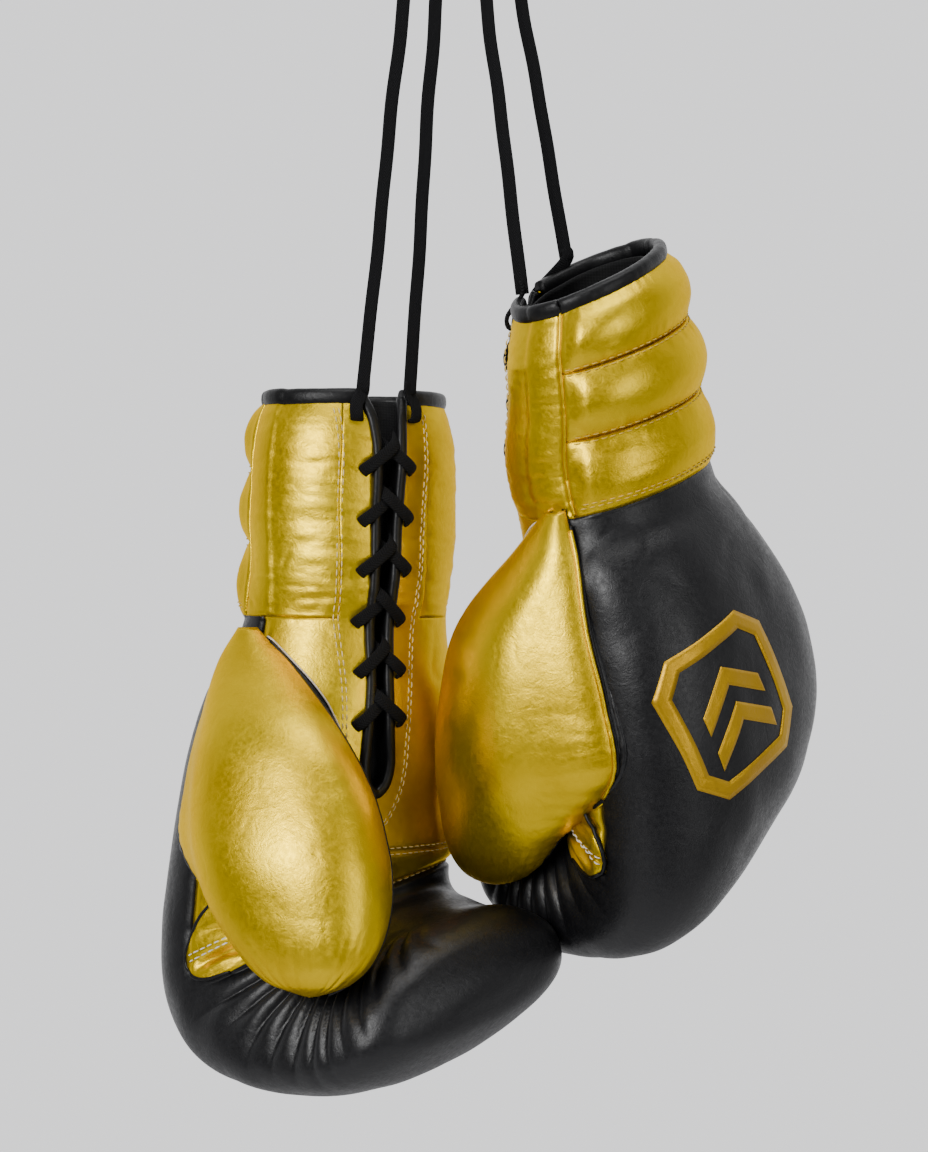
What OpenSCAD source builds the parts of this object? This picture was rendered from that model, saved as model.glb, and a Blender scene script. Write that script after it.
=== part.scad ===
// Pair of lace-up boxing gloves hanging by their knotted laces.
// One glove is drawn in its own frame: +X thumb side, +Y palm side, +Z up the cuff,
// z = 0 at the wrist seam. The left glove is the same drawing mirrored in X.
// World frame: origin where the hanging loop rests on its hook, +Z up. All in mm.

/* [Cuff] */
// Height of the cuff rim above the wrist seam
cuff_top = 117; // [100:1:135]
// Height where the cuff meets the fist part
cuff_end = 12; // [8:1:20]
// How far the wrist rolls stand out from the cuff
roll_bulge = 5; // [2:0.5:8]
// Half of the lace opening, as an angle round the cuff
slot_half = 7.5; // [6:0.5:10]
// Middle of the lace opening, as an angle from the thumb side
slot_angle = 77; // [70:1:90]

/* [Leather and padding] */
// Thickness of the leather
leather = 1.1; // [0.8:0.1:1.6]
// Thickness of the lining cloth
lining = 1; // [0.6:0.1:1.5]
// Space between the thumb stall and the side of the fist
thumb_gap = 3; // [2:0.5:5]
// Padding round the thumb
thumb_pad = 10; // [6:1:12]

/* [Laces] */
// Width of the flat lace
lace_width = 6.5; // [5:0.5:8]
// Thickness of the flat lace
lace_thick = 2.5; // [2:0.5:3.5]
// Number of crossings down the front
lace_rows = 6; // [5:1:8]
// Radius of the knot
knot_radius = 16; // [13:1:20]

/* [Pose of the hanging pair] */
// Turn of the right glove about its own length
right_turn = -140; // [-160:1:-120]
// Turn of the left glove about its own length
left_turn = 49; // [30:1:60]

/* [Hidden] */
gap = 0.1;
// Lace strands from each cuff to the knot, and the loop and tails of the knot
right_thumb_path = [[-42.1, -40.7, -399.6], [-33.5, -33, -315], [-25, -25, -230], [-16.5, -17, -145.5], [-8, -9, -61]];
right_pinky_path = [[-19.5, -28, -401.4], [-13, -23.2, -316], [-6.7, -18.5, -231], [-0.4, -13.8, -146], [6, -9, -61]];
left_thumb_path = [[35.2, -46, -338.8], [26.6, -32.2, -269.6], [18.1, -18.5, -200.4], [9.6, -4.8, -131.2], [1, 9, -62]];
left_pinky_path = [[47.8, -23.8, -334], [38.6, -15.6, -265], [29.4, -7.4, -196], [20.2, 0.8, -127], [11, 9, -60]];
loop_path = [[-5, 0, -28.4], [-11, 0, -21], [-13, 0, -11], [-8.5, 0, -1.5], [0, 0, 1.5], [8.5, 0, -1.5], [13, 0, -11],
             [11, 0, -21], [5, 0, -28.4]];
front_tail_path = [[0, -16.5, -44], [-1, -20, -48], [-2, -22, -60], [-3, -22, -75], [-3, -21.5, -90]];
back_tail_path = [[0, 16.5, -44], [1, 20, -48], [2, 22, -60], [3, 22, -72], [3, 21.5, -84]];
tail_tip = 14;
slot_x = 15.5;
slot_end = -72;
knot_z = -45;
round_power = 0.86;
palm_taper = 0.13;
slant = 0.27;
knuckle_slant = 0.5;
knuckle_depth = 60;
roll_edges = [117, 83, 48, 12];
right_place = [-47, -15, -524];
right_tilt = -8;
right_lean = 0;
left_place = [96, -37, -450];
left_tilt = 7;
left_lean = -9;

// Fist part along its curl: position, back y and z, palm y and z, half width, centre x
fist = [
  [0.00, -46, 11, 38, 9, 53, 1],
  [0.12, -57, -24, 40, -25, 62, 5],
  [0.25, -66, -65, 37, -66, 71, 9],
  [0.38, -71, -107, 32, -100, 75, 10],
  [0.50, -70, -148, 30, -120, 76, 10],
  [0.61, -52, -182, 32, -128, 75, 9],
  [0.72, -11, -204, 42, -131, 74, 7],
  [0.82, 33, -210, 56, -134, 71, 4],
  [0.91, 72, -202, 78, -133, 65, 2],
  [0.965, 96, -183, 92, -141, 51, 1],
  [1.00, 101, -164, 100, -157, 8, 0]
];
// Padding round the hand along the fist part: position, back, palm, sides
padding = [
  [0.00, 6.5, 6.5, 6.5],
  [0.12, 16, 2.6, 12],
  [0.25, 28, 2.6, 15],
  [0.38, 38, 2.6, 17],
  [0.50, 45, 2.6, 19],
  [0.61, 48, 6, 24]
];
// Cuff from rim to wrist: position, half width, half depth, centre y
cuff = [
  [0.00, 47, 37, 0],
  [0.10, 51, 41, 0],
  [0.25, 54, 43, 0],
  [0.50, 55, 43, -1],
  [0.75, 54, 43, -1],
  [1.00, 52, 43, -2]
];
// Thumb from its top to its tip: position, centre x y z, half length, half thickness,
// direction of the length, seam x y
thumb = [
  [0.00, 63, -4, 6, 5, 4, 110, 61, -8],
  [0.10, 67, 5, -12, 19, 12, 111, 68, -15],
  [0.25, 77, 27, -42, 33, 22, 114, 76, -20],
  [0.42, 80, 36, -76, 44, 30, 118, 80, -28],
  [0.58, 82, 42, -107, 47, 34, 120, 84, -30],
  [0.72, 80, 48, -134, 44, 33, 118, 82, -4],
  [0.86, 81, 57, -157, 34, 25, 115, 80, 30],
  [0.95, 82.5, 61, -171, 21, 15, 112, 78, 50],
  [1.00, 82.5, 62, -178, 3, 2, 110, 80, 60]
];
fist_steps = [0, 0.06, 0.12, 0.19, 0.25, 0.32, 0.38, 0.44, 0.494, 0.5];
foam_steps = [0, 0.06, 0.12, 0.19, 0.25, 0.32, 0.38, 0.44, 0.494];
curl_steps = [0.5, 0.56, 0.61, 0.67, 0.72, 0.78, 0.84, 0.9, 0.94, 0.97, 1];
thumb_steps = [0, 0.05, 0.12, 0.2, 0.3, 0.42, 0.54, 0.66, 0.76, 0.86, 0.93, 0.97, 1];
stall_steps = [0.3, 0.38, 0.46, 0.55, 0.65, 0.75, 0.84];

// ---- curves ----
function piece(k, t, i = 0) = (i >= len(k) - 2 || t < k[i + 1][0]) ? i : piece(k, t, i + 1);
function rate(k, i) =
  let(lo = max(0, i - 1), hi = min(len(k) - 1, i + 1))
  (k[hi] - k[lo]) / (k[hi][0] - k[lo][0]);
function smooth(k, t) =
  let(i = piece(k, t), h = k[i + 1][0] - k[i][0], u = (t - k[i][0]) / h)
  (2 * u * u * u - 3 * u * u + 1) * k[i] + (u * u * u - 2 * u * u + u) * h * rate(k, i)
  + (3 * u * u - 2 * u * u * u) * k[i + 1] + (u * u * u - u * u) * h * rate(k, i + 1);
function signed_power(v, e) = sign(v) * pow(abs(v), e);
function unit(v) = v / norm(v);
function steps(a, b, n) = [for (i = [0:n]) a + (b - a) * i / n];

// ---- surfaces of one glove ----
// How far a point sinks for its place across the hand: the knuckles run lower on the thumb side
function drop(p) =
  let(w = min(1, max(0, (-p[2] - 10) / 110)), back = min(1, max(0, -p[1] / knuckle_depth)))
  slant * (1 + knuckle_slant * back) * p[0] * w * w * (3 - 2 * w);
function fist_point(s, a, back, palm, side) =
  let(r = smooth(fist, s), o = [0, r[1], r[2]], i = [0, r[3], r[4]], n = unit(i - o),
      o2 = o + n * back, i2 = i - n * palm, m = (o2 + i2) / 2, h = norm(i2 - o2) / 2,
      c = signed_power(cos(a), round_power), d = signed_power(sin(a), round_power),
      x = c * (r[5] - side) * (1 - palm_taper * d) + r[6], y = m[1] + n[1] * h * d,
      z = m[2] + n[2] * h * d)
  [x, y, z - drop([x, y, z])];
function skin_grid(ss, aa, t) = [for (s = ss) [for (a = aa) fist_point(s, a, t, t, t)]];
function hollow_grid(ss, aa, t) =
  [for (s = ss) let(p = smooth(padding, s)) [for (a = aa) fist_point(s, a, p[1] + t, p[2] + t, p[3] + t)]];

function cuff_point(z, a, t) =
  let(r = smooth(cuff, (cuff_top - z) / (cuff_top - cuff_end)))
  [(r[1] - t) * cos(a), r[3] + (r[2] - t) * sin(a), z];
function cuff_grid(zz, aa, t) = [for (z = zz) [for (a = aa) cuff_point(z, a, t)]];

// half depth and width of the fist at the height z, found by halving
function fist_at(z, lo = 0, hi = 0.5, n = 12) =
  n == 0 ? smooth(fist, lo)
  : let(m = (lo + hi) / 2, r = smooth(fist, m)) (r[2] + r[4]) / 2 > z ? fist_at(z, m, hi, n - 1) : fist_at(z, lo, m, n - 1);
function clear_of_fist(p, space) =
  let(zz = p[2] + drop(p), r = fist_at(min(zz, 8)),
      cx = r[6], cy = (r[1] + r[3]) / 2, h = (r[3] - r[1]) / 2 + space, w = r[5] + space,
      dy = (p[1] - cy) / h, dx = (p[0] - cx) / (w * (1 - palm_taper * max(-1, min(1, dy)))),
      n = 2 / round_power, f = pow(pow(abs(dx), n) + pow(abs(dy), n), 1 / n))
  (zz < -156 || f >= 1) ? p : [cx + (p[0] - cx) / f, cy + (p[1] - cy) / f, p[2]];
function thumb_point(s, a, t) =
  let(r = smooth(thumb, s), p = max(0.6, r[4] - t), q = max(0.5, r[5] - t), d = r[6],
      sa = atan2(r[8] - r[2], r[7] - r[1]) - d, sd = norm([r[7] - r[1], r[8] - r[2]]),
      pull = max(0, sd - t - 1 / sqrt(pow(cos(sa) / p, 2) + pow(sin(sa) / q, 2))),
      u = signed_power(cos(a), 0.9) * p, v = signed_power(sin(a), 0.9) * q,
      g = (atan2(v, u) - sa + 900) % 360 - 180,
      f = 1 + pull * exp(-pow(g / 24, 2)) / norm([u, v]))
  clear_of_fist([r[1] + f * (u * cos(d) - v * sin(d)), r[2] + f * (u * sin(d) + v * cos(d)), r[3]], thumb_gap + t);
function thumb_grid(ss, aa, t) = [for (s = ss) [for (a = aa) thumb_point(s, a, t)]];

// ---- solids from grids of points ----
function quad(a, b, c, d) = [[a, b, c], [a, c, d]];
// A shell between two grids. ring: the columns close on themselves. tip: the last rows are closed over.
module shell(outer, inner, ring = false, tip = false) {
  rows = len(outer);
  cols = len(outer[0]);
  deep = len(inner);
  off = rows * cols;
  span = ring ? cols : cols - 1;
  faces = concat(
    [for (i = [0:rows - 2], j = [0:span - 1])
      each quad(i * cols + j, i * cols + (j + 1) % cols, (i + 1) * cols + (j + 1) % cols, (i + 1) * cols + j)],
    [for (i = [0:deep - 2], j = [0:span - 1])
      each quad(off + i * cols + j, off + (i + 1) * cols + j, off + (i + 1) * cols + (j + 1) % cols,
                off + i * cols + (j + 1) % cols)],
    [for (j = [0:span - 1]) each quad((j + 1) % cols, j, off + j, off + (j + 1) % cols)],
    tip ? concat(fan((rows - 1) * cols, cols, false), fan(off + (deep - 1) * cols, cols, true))
        : [for (j = [0:span - 1]) let(o = (rows - 1) * cols, n = off + (deep - 1) * cols)
            each quad(o + j, o + (j + 1) % cols, n + (j + 1) % cols, n + j)],
    ring ? [] : [for (i = [0:rows - 2])
      let(a = i * cols, b = a + cols, c = b - 1, d = b + cols - 1)
      each concat(quad(a, b, off + b, off + a), quad(c, off + c, off + d, d))]);
  polyhedron(concat([for (r = outer) each r], [for (r = inner) each r]), faces, convexity = 8);
}
function fan(base, n, back) =
  [for (j = [1:n - 2]) back ? [base, base + j + 1, base + j] : [base, base + j, base + j + 1]];
// A closed body through rings of points
module pod(rings) {
  rows = len(rings);
  cols = len(rings[0]);
  faces = concat(
    [for (i = [0:rows - 2], j = [0:cols - 1])
      each quad(i * cols + j, i * cols + (j + 1) % cols, (i + 1) * cols + (j + 1) % cols, (i + 1) * cols + j)],
    fan(0, cols, true), fan((rows - 1) * cols, cols, false));
  polyhedron([for (r = rings) each r], faces, convexity = 8);
}
// A lace, band or cord of oval section along a path; across is the way its width points
function way(path, i) = unit(path[min(len(path) - 1, i + 1)] - path[max(0, i - 1)]);
function ribbon_rings(path, across, w, t, n) =
  [for (i = [0:len(path) - 1])
    let(d = way(path, i), up = unit(cross(across, d)), wide = unit(cross(d, up)))
    [for (j = [0:n - 1]) path[i] + wide * w / 2 * cos(360 * j / n) + up * t / 2 * sin(360 * j / n)]];
module ribbon(path, across, w, t, n = 8) {
  pod(ribbon_rings(path, across, w, t, n));
}

// ---- one glove, in its own frame ----
module slot_cutter() {
  translate([slot_x - 7.5, 15, slot_end]) cube([15, 50, 100]);
  translate([slot_x, 15, slot_end]) rotate([-90, 0, 0]) cylinder(h = 50, r = 7.5, $fn = 24);
}
module glove_back_leather() {
  ss = concat(fist_steps, [for (i = [1:len(curl_steps) - 1]) curl_steps[i]]);
  aa = steps(180, 360, 11);
  shell(skin_grid(ss, aa, 0), skin_grid(ss, aa, leather));
}
module glove_roll_leather() {
  aa = steps(0, 180, 11);
  shell(skin_grid(curl_steps, aa, 0), skin_grid(curl_steps, aa, leather));
}
module glove_palm_leather() {
  aa = steps(0, 180, 12);
  difference() {
    shell(skin_grid(fist_steps, aa, 0), skin_grid(fist_steps, aa, leather));
    slot_cutter();
  }
}
module glove_palm_padding() {
  aa = steps(0, 180, 12);
  difference() {
    shell(skin_grid(foam_steps, aa, leather + gap), hollow_grid(foam_steps, aa, 0));
    slot_cutter();
  }
}
module glove_back_foam() {
  aa = steps(180, 360, 11);
  shell(skin_grid(foam_steps, aa, leather + gap), hollow_grid(foam_steps, aa, 0));
}
module glove_fist_foam() {
  aa = [for (a = steps(0, 360, 22)) if (a < 359) a];
  shell(skin_grid(curl_steps, aa, leather + gap), hollow_grid([0.5, 0.55, 0.6], aa, 0), ring = true, tip = true);
}
module glove_hand_lining() {
  aa = [for (a = steps(0, 360, 16)) if (a < 359) a];
  outer = [0.01, 0.12, 0.25, 0.38, 0.5, 0.55, 0.59];
  inner = [0.01, 0.12, 0.25, 0.38, 0.5, 0.55, 0.583];
  difference() {
    shell(hollow_grid(outer, aa, 1.2), hollow_grid(inner, aa, 1.2 + lining), ring = true, tip = true);
    slot_cutter();
  }
}
module glove_grip_bar() {
  translate([-28, 12, -96]) rotate([0, 105, 0]) cylinder(h = 70, r = 7.5, $fn = 32);
}
module glove_wrist_roll(k) {
  top = roll_edges[k] - (k == 0 ? 0.3 : 0.4);
  low = roll_edges[k + 1] + 0.4;
  aa = steps(202, 338, 12);
  zz = [for (q = [0, 0.12, 0.35, 0.65, 0.88, 1]) top + (low - top) * q];
  bump = [for (z = zz) let(q = (top - z) / (top - low))
    [for (a = aa) cuff_point(z, a, -(roll_bulge * pow(max(0, sin(180 * q)), 0.6) - 1) * min(1, 0.15 + min(a - 202, 338 - a) / 12))]];
  shell(bump, cuff_grid(zz, aa, 2.4));
}
module glove_cuff_thumb_panel() {
  aa = steps(-21.5, 50.5, 7);
  zz = steps(cuff_top, cuff_end + 0.2, 5);
  shell(cuff_grid(zz, aa, 0), cuff_grid(zz, aa, leather));
}
module glove_cuff_pinky_panel() {
  aa = steps(103.5, 201.5, 9);
  zz = steps(cuff_top, cuff_end + 0.2, 5);
  shell(cuff_grid(zz, aa, 0), cuff_grid(zz, aa, leather));
}
module glove_lace_facings() {
  zz = steps(cuff_top, cuff_end + 0.2, 5);
  for (range = [[51, slot_angle - slot_half - 3.4], [slot_angle + slot_half + 3.4, 103]]) {
    aa = steps(range[0], range[1], 2);
    shell(cuff_grid(zz, aa, 0), cuff_grid(zz, aa, 2));
  }
}
module glove_cuff_padding() {
  aa = steps(slot_angle + slot_half + 3.4, slot_angle - slot_half - 3.4 + 360, 22);
  zz = steps(cuff_top, cuff_end + 0.2, 4);
  shell(cuff_grid(zz, aa, 2.6), cuff_grid(zz, aa, 5));
}
module glove_cuff_lining() {
  aa = steps(slot_angle + slot_half + 3.4, slot_angle - slot_half - 3.4 + 360, 22);
  zz = steps(cuff_top, cuff_end + 0.2, 4);
  shell(cuff_grid(zz, aa, 5.1), cuff_grid(zz, aa, 5.1 + lining));
}
module glove_rim_binding() {
  aa = steps(slot_angle + slot_half - 1, slot_angle - slot_half + 1 + 360, 26);
  pod([for (a = aa) let(p = cuff_point(cuff_top, a, 3), o = [cos(a), sin(a), 0])
    [for (j = [0:5]) p + [0, 0, 3] + o * 3.6 * cos(60 * j) + [0, 0, 2.7] * sin(60 * j)]]);
}
function slot_path() =
  let(down = [for (z = steps(cuff_top - 0.5, cuff_end + 3, 4)) [z, slot_half]],
      fist_s = [0.02, 0.08, 0.14, 0.2],
      side = function(k) concat(
        [for (d = down) cuff_point(d[0], slot_angle - k * d[1], 1)],
        [for (s = fist_s) let(p = fist_point(s, 84, 1, 1, 1)) [slot_x + k * 5.3, p[1], p[2]]]),
      low = fist_point(0.262, 84, 1, 1, 1))
  concat(side(1), [[slot_x + 4.2, low[1], slot_end + 1.5], [slot_x, low[1], slot_end - 4.2], [slot_x - 4.2, low[1], slot_end + 1.5]],
         [for (i = [len(side(-1)) - 1:-1:0]) side(-1)[i]]);
module glove_slot_binding() {
  ribbon(slot_path(), [0, 1, 0], 3.6, 3.4, 6);
}
function hole(i, side) =
  let(z = 106 - i * 24.5)
  z > cuff_end ? cuff_point(z, slot_angle - side * (slot_half + 7.5), -2.4)
  : let(p = fist_point(min(0.24, (11 - z) / 290), 84, 0, 0, 0)) [slot_x + side * 11, p[1] + 2.4, z];
module bar(a, b, lift) {
  d = unit(b - a);
  side = unit(cross([0, 1, 0], d));
  up = cross(d, side);
  multmatrix([[d[0], side[0], up[0], a[0]], [d[1], side[1], up[1], a[1] + lift], [d[2], side[2], up[2], a[2]], [0, 0, 0, 1]])
    translate([0, -lace_width / 2 + 0.7, 0]) cube([norm(b - a), lace_width - 1.4, 1.6]);
}
module riser(side) {
  a = slot_angle - side * (slot_half + 7.5);
  ribbon([cuff_point(103, a, -4.2), cuff_point(111, a, -4), cuff_point(119, a, -4.5)], [1, 0, 0], lace_width - 1.4, lace_thick, 8);
}
module glove_lacing() {
  riser(1);
  riser(-1);
  for (i = [0:lace_rows - 1]) {
    bar(hole(i, 1), hole(i + 1, -1), 0.8);
    bar(hole(i, -1), hole(i + 1, 1), 1.8);
  }
}
module glove_thumb_gusset() {
  ss = steps(0.03, 0.34, 6);
  aa = steps(36, 58, 2);
  shell(skin_grid(ss, aa, -1.8), skin_grid(ss, aa, -0.9));
}
module glove_thumb_strap() {
  ribbon([[97.4, -36.2, -121], [100.8, -25.6, -127], [104.2, -12.8, -134], [105, 0, -142], [102.6, 9, -148]], [0, 0.66, 0.75], 20, 1.6, 8);
}
module glove_thumb_leather() {
  aa = steps(150, 373, 13);
  shell(thumb_grid(thumb_steps, aa, 0), thumb_grid(thumb_steps, aa, leather));
}
module glove_thumb_inner_leather() {
  aa = steps(15, 148, 7);
  shell(thumb_grid(thumb_steps, aa, 0), thumb_grid(thumb_steps, aa, leather));
}
// The same columns as the two thumb leathers have together, so that the foam lies flat inside them
thumb_columns = concat(steps(15, 148, 7), steps(150, 355.8, 12));
module glove_thumb_foam() {
  aa = thumb_columns;
  outer = [0.3, 0.42, 0.54, 0.66, 0.76, 0.86, 0.93, 0.97, 0.985];
  shell(thumb_grid(outer, aa, leather + 0.4), thumb_grid(stall_steps, aa, thumb_pad), ring = true, tip = true);
}
module glove_thumb_lining() {
  aa = thumb_columns;
  inner = [for (s = stall_steps) min(s, 0.825)];
  shell(thumb_grid(stall_steps, aa, thumb_pad + gap), thumb_grid(inner, aa, thumb_pad + gap + lining),
        ring = true, tip = true);
}

// ---- the two gloves in the world ----
module right() {
  translate(right_place) rotate([0, right_lean, 0]) rotate([right_tilt, 0, 0]) rotate([0, 0, right_turn]) children();
}
module left() {
  translate(left_place) rotate([0, left_lean, 0]) rotate([left_tilt, 0, 0]) rotate([0, 0, left_turn])
    mirror([1, 0, 0]) children();
}
gold = [0.8, 0.62, 0.16];
black = [0.09, 0.09, 0.1];
foam = [0.55, 0.55, 0.55];
cloth = [0.16, 0.16, 0.17];

module right_back_leather() { color(black) right() glove_back_leather(); }
module right_roll_leather() { color(black) right() glove_roll_leather(); }
module right_palm_leather() { color(gold) right() glove_palm_leather(); }
module right_palm_padding() { color(foam) right() glove_palm_padding(); }
module right_back_foam() { color(foam) right() glove_back_foam(); }
module right_fist_foam() { color(foam) right() glove_fist_foam(); }
module right_hand_lining() { color(cloth) right() glove_hand_lining(); }
module right_grip_bar() { color(foam) right() glove_grip_bar(); }
module right_wrist_roll_top() { color(gold) right() glove_wrist_roll(0); }
module right_wrist_roll_middle() { color(gold) right() glove_wrist_roll(1); }
module right_wrist_roll_bottom() { color(gold) right() glove_wrist_roll(2); }
module right_cuff_thumb_panel() { color(gold) right() glove_cuff_thumb_panel(); }
module right_cuff_pinky_panel() { color(gold) right() glove_cuff_pinky_panel(); }
module right_lace_facings() { color(gold) right() glove_lace_facings(); }
module right_cuff_padding() { color(foam) right() glove_cuff_padding(); }
module right_cuff_lining() { color(cloth) right() glove_cuff_lining(); }
module right_rim_binding() { color(black) right() glove_rim_binding(); }
module right_slot_binding() { color(black) right() glove_slot_binding(); }
module right_lacing() { color(black) right() glove_lacing(); }
module right_thumb_gusset() { color(black) right() glove_thumb_gusset(); }
module right_thumb_strap() { color(gold) right() glove_thumb_strap(); }
module right_thumb_leather() { color(gold) right() glove_thumb_leather(); }
module right_thumb_inner_leather() { color(black) right() glove_thumb_inner_leather(); }
module right_thumb_foam() { color(foam) right() glove_thumb_foam(); }
module right_thumb_lining() { color(cloth) right() glove_thumb_lining(); }

module left_back_leather() { color(black) left() glove_back_leather(); }
module left_roll_leather() { color(black) left() glove_roll_leather(); }
module left_palm_leather() { color(gold) left() glove_palm_leather(); }
module left_palm_padding() { color(foam) left() glove_palm_padding(); }
module left_back_foam() { color(foam) left() glove_back_foam(); }
module left_fist_foam() { color(foam) left() glove_fist_foam(); }
module left_hand_lining() { color(cloth) left() glove_hand_lining(); }
module left_grip_bar() { color(foam) left() glove_grip_bar(); }
module left_wrist_roll_top() { color(gold) left() glove_wrist_roll(0); }
module left_wrist_roll_middle() { color(gold) left() glove_wrist_roll(1); }
module left_wrist_roll_bottom() { color(gold) left() glove_wrist_roll(2); }
module left_cuff_thumb_panel() { color(gold) left() glove_cuff_thumb_panel(); }
module left_cuff_pinky_panel() { color(gold) left() glove_cuff_pinky_panel(); }
module left_lace_facings() { color(gold) left() glove_lace_facings(); }
module left_cuff_padding() { color(foam) left() glove_cuff_padding(); }
module left_cuff_lining() { color(cloth) left() glove_cuff_lining(); }
module left_rim_binding() { color(black) left() glove_rim_binding(); }
module left_slot_binding() { color(black) left() glove_slot_binding(); }
module left_lacing() { color(black) left() glove_lacing(); }
module left_thumb_gusset() { color(black) left() glove_thumb_gusset(); }
module left_thumb_strap() { color(gold) left() glove_thumb_strap(); }
module left_thumb_leather() { color(gold) left() glove_thumb_leather(); }
module left_thumb_inner_leather() { color(black) left() glove_thumb_inner_leather(); }
module left_thumb_foam() { color(foam) left() glove_thumb_foam(); }
module left_thumb_lining() { color(cloth) left() glove_thumb_lining(); }

module right_strand_thumb_side() { color(black) ribbon(right_thumb_path, [1, 0, 0], lace_width, lace_thick); }
module right_strand_pinky_side() { color(black) ribbon(right_pinky_path, [1, 0, 0], lace_width, lace_thick); }
module left_strand_thumb_side() { color(black) ribbon(left_thumb_path, [1, 0, 0], lace_width, lace_thick); }
module left_strand_pinky_side() { color(black) ribbon(left_pinky_path, [1, 0, 0], lace_width, lace_thick); }
module hang_knot() {
  r = knot_radius;
  color(black) translate([0, 0, knot_z]) rotate([90, 0, 0])
    rotate_extrude($fn = 48) polygon([[0, -15], [11, -15], [r, -9], [r, 9], [11, 15], [0, 15]]);
}
module hang_loop() { color(black) ribbon(loop_path, [0, 1, 0], lace_width, 3); }
module lace_tails() {
  color(black) {
    ribbon(front_tail_path, [1, 0, 0], lace_width, lace_thick);
    ribbon(back_tail_path, [1, 0, 0], lace_width, lace_thick);
  }
}
module lace_tips() {
  color(black) {
    translate([-3, -21.5, -90.2 - tail_tip]) cylinder(h = tail_tip, r = 1.7, $fn = 24);
    translate([3, 21.5, -84.2 - tail_tip]) cylinder(h = tail_tip, r = 1.7, $fn = 24);
  }
}

hang_knot();
hang_loop();
lace_tails();
lace_tips();
right_strand_thumb_side();
right_strand_pinky_side();
left_strand_thumb_side();
left_strand_pinky_side();
right_back_leather();
right_roll_leather();
right_palm_leather();
right_palm_padding();
right_back_foam();
right_fist_foam();
right_hand_lining();
right_grip_bar();
right_wrist_roll_top();
right_wrist_roll_middle();
right_wrist_roll_bottom();
right_cuff_thumb_panel();
right_cuff_pinky_panel();
right_lace_facings();
right_cuff_padding();
right_cuff_lining();
right_rim_binding();
right_slot_binding();
right_lacing();
right_thumb_gusset();
right_thumb_strap();
right_thumb_leather();
right_thumb_inner_leather();
right_thumb_foam();
right_thumb_lining();
left_back_leather();
left_roll_leather();
left_palm_leather();
left_palm_padding();
left_back_foam();
left_fist_foam();
left_hand_lining();
left_grip_bar();
left_wrist_roll_top();
left_wrist_roll_middle();
left_wrist_roll_bottom();
left_cuff_thumb_panel();
left_cuff_pinky_panel();
left_lace_facings();
left_cuff_padding();
left_cuff_lining();
left_rim_binding();
left_slot_binding();
left_lacing();
left_thumb_gusset();
left_thumb_strap();
left_thumb_leather();
left_thumb_inner_leather();
left_thumb_foam();
left_thumb_lining();
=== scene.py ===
"""Looks of a pair of lace-up boxing gloves that hang by their knotted laces.

Each glove is shaped in its own frame, in millimetres: +X thumb side, +Y palm side, +Z up the cuff,
z = 0 at the wrist seam. The left glove is the same shape mirrored in X. The world is in metres.
"""

import math

import bpy
import numpy as np
from mathutils import Matrix, Vector
from mathutils.bvhtree import BVHTree


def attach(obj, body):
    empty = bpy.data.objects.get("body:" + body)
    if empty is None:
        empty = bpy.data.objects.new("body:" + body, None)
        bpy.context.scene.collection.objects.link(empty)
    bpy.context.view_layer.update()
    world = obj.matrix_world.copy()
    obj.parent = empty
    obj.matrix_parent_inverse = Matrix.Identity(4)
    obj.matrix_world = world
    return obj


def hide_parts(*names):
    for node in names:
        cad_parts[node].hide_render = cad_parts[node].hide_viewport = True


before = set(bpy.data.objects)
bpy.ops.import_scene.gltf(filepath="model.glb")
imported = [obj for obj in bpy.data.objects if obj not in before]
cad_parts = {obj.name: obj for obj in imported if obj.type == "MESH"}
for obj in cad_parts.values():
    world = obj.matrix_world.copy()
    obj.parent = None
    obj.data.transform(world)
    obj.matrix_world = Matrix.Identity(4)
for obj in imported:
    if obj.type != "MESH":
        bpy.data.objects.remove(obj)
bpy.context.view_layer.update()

MM = 0.001

# ---------------------------------------------------------------- camera
VIEW_CENTRE = Vector((0.007, 0.0, -0.495))
VIEW_ELEVATION = math.radians(8)
VIEW_DISTANCE = 1.6


def add_camera():
    """The camera at the photograph's angle: level with the cuffs and looking down a little."""
    data = bpy.data.cameras.new("camera")
    data.lens = 100
    data.sensor_width = 36
    camera = bpy.data.objects.new("camera", data)
    bpy.context.scene.collection.objects.link(camera)
    forward = Vector((0, math.cos(VIEW_ELEVATION), -math.sin(VIEW_ELEVATION)))
    camera.location = VIEW_CENTRE - forward * VIEW_DISTANCE
    camera.rotation_euler = forward.to_track_quat("-Z", "Y").to_euler()
    bpy.context.scene.camera = camera


add_camera()


# ---------------------------------------------------------------- curves and noise
def smooth(keys, t):
    """Values at t on a smooth curve through the rows of keys, whose first column is the position."""
    table = np.array(keys, float)
    x, v = table[:, 0], table[:, 1:]
    rate = np.empty_like(v)
    rate[1:-1] = (v[2:] - v[:-2]) / (x[2:] - x[:-2])[:, None]
    rate[0] = (v[1] - v[0]) / (x[1] - x[0])
    rate[-1] = (v[-1] - v[-2]) / (x[-1] - x[-2])
    t = np.asarray(t, float)
    i = np.clip(np.searchsorted(x, t, side="right") - 1, 0, len(x) - 2)
    h = (x[i + 1] - x[i])[..., None]
    u = (t - x[i])[..., None] / h
    return (
        (2 * u**3 - 3 * u**2 + 1) * v[i]
        + (u**3 - 2 * u**2 + u) * h * rate[i]
        + (3 * u**2 - 2 * u**3) * v[i + 1]
        + (u**3 - u**2) * h * rate[i + 1]
    )


def signed_power(v, e):
    return np.sign(v) * np.abs(v) ** e


def ramp(x, low, high):
    """0 before low, 1 after high and smooth between them; low may be above high."""
    w = np.clip((np.asarray(x, float) - low) / (high - low), 0, 1)
    return w * w * (3 - 2 * w)


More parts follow.
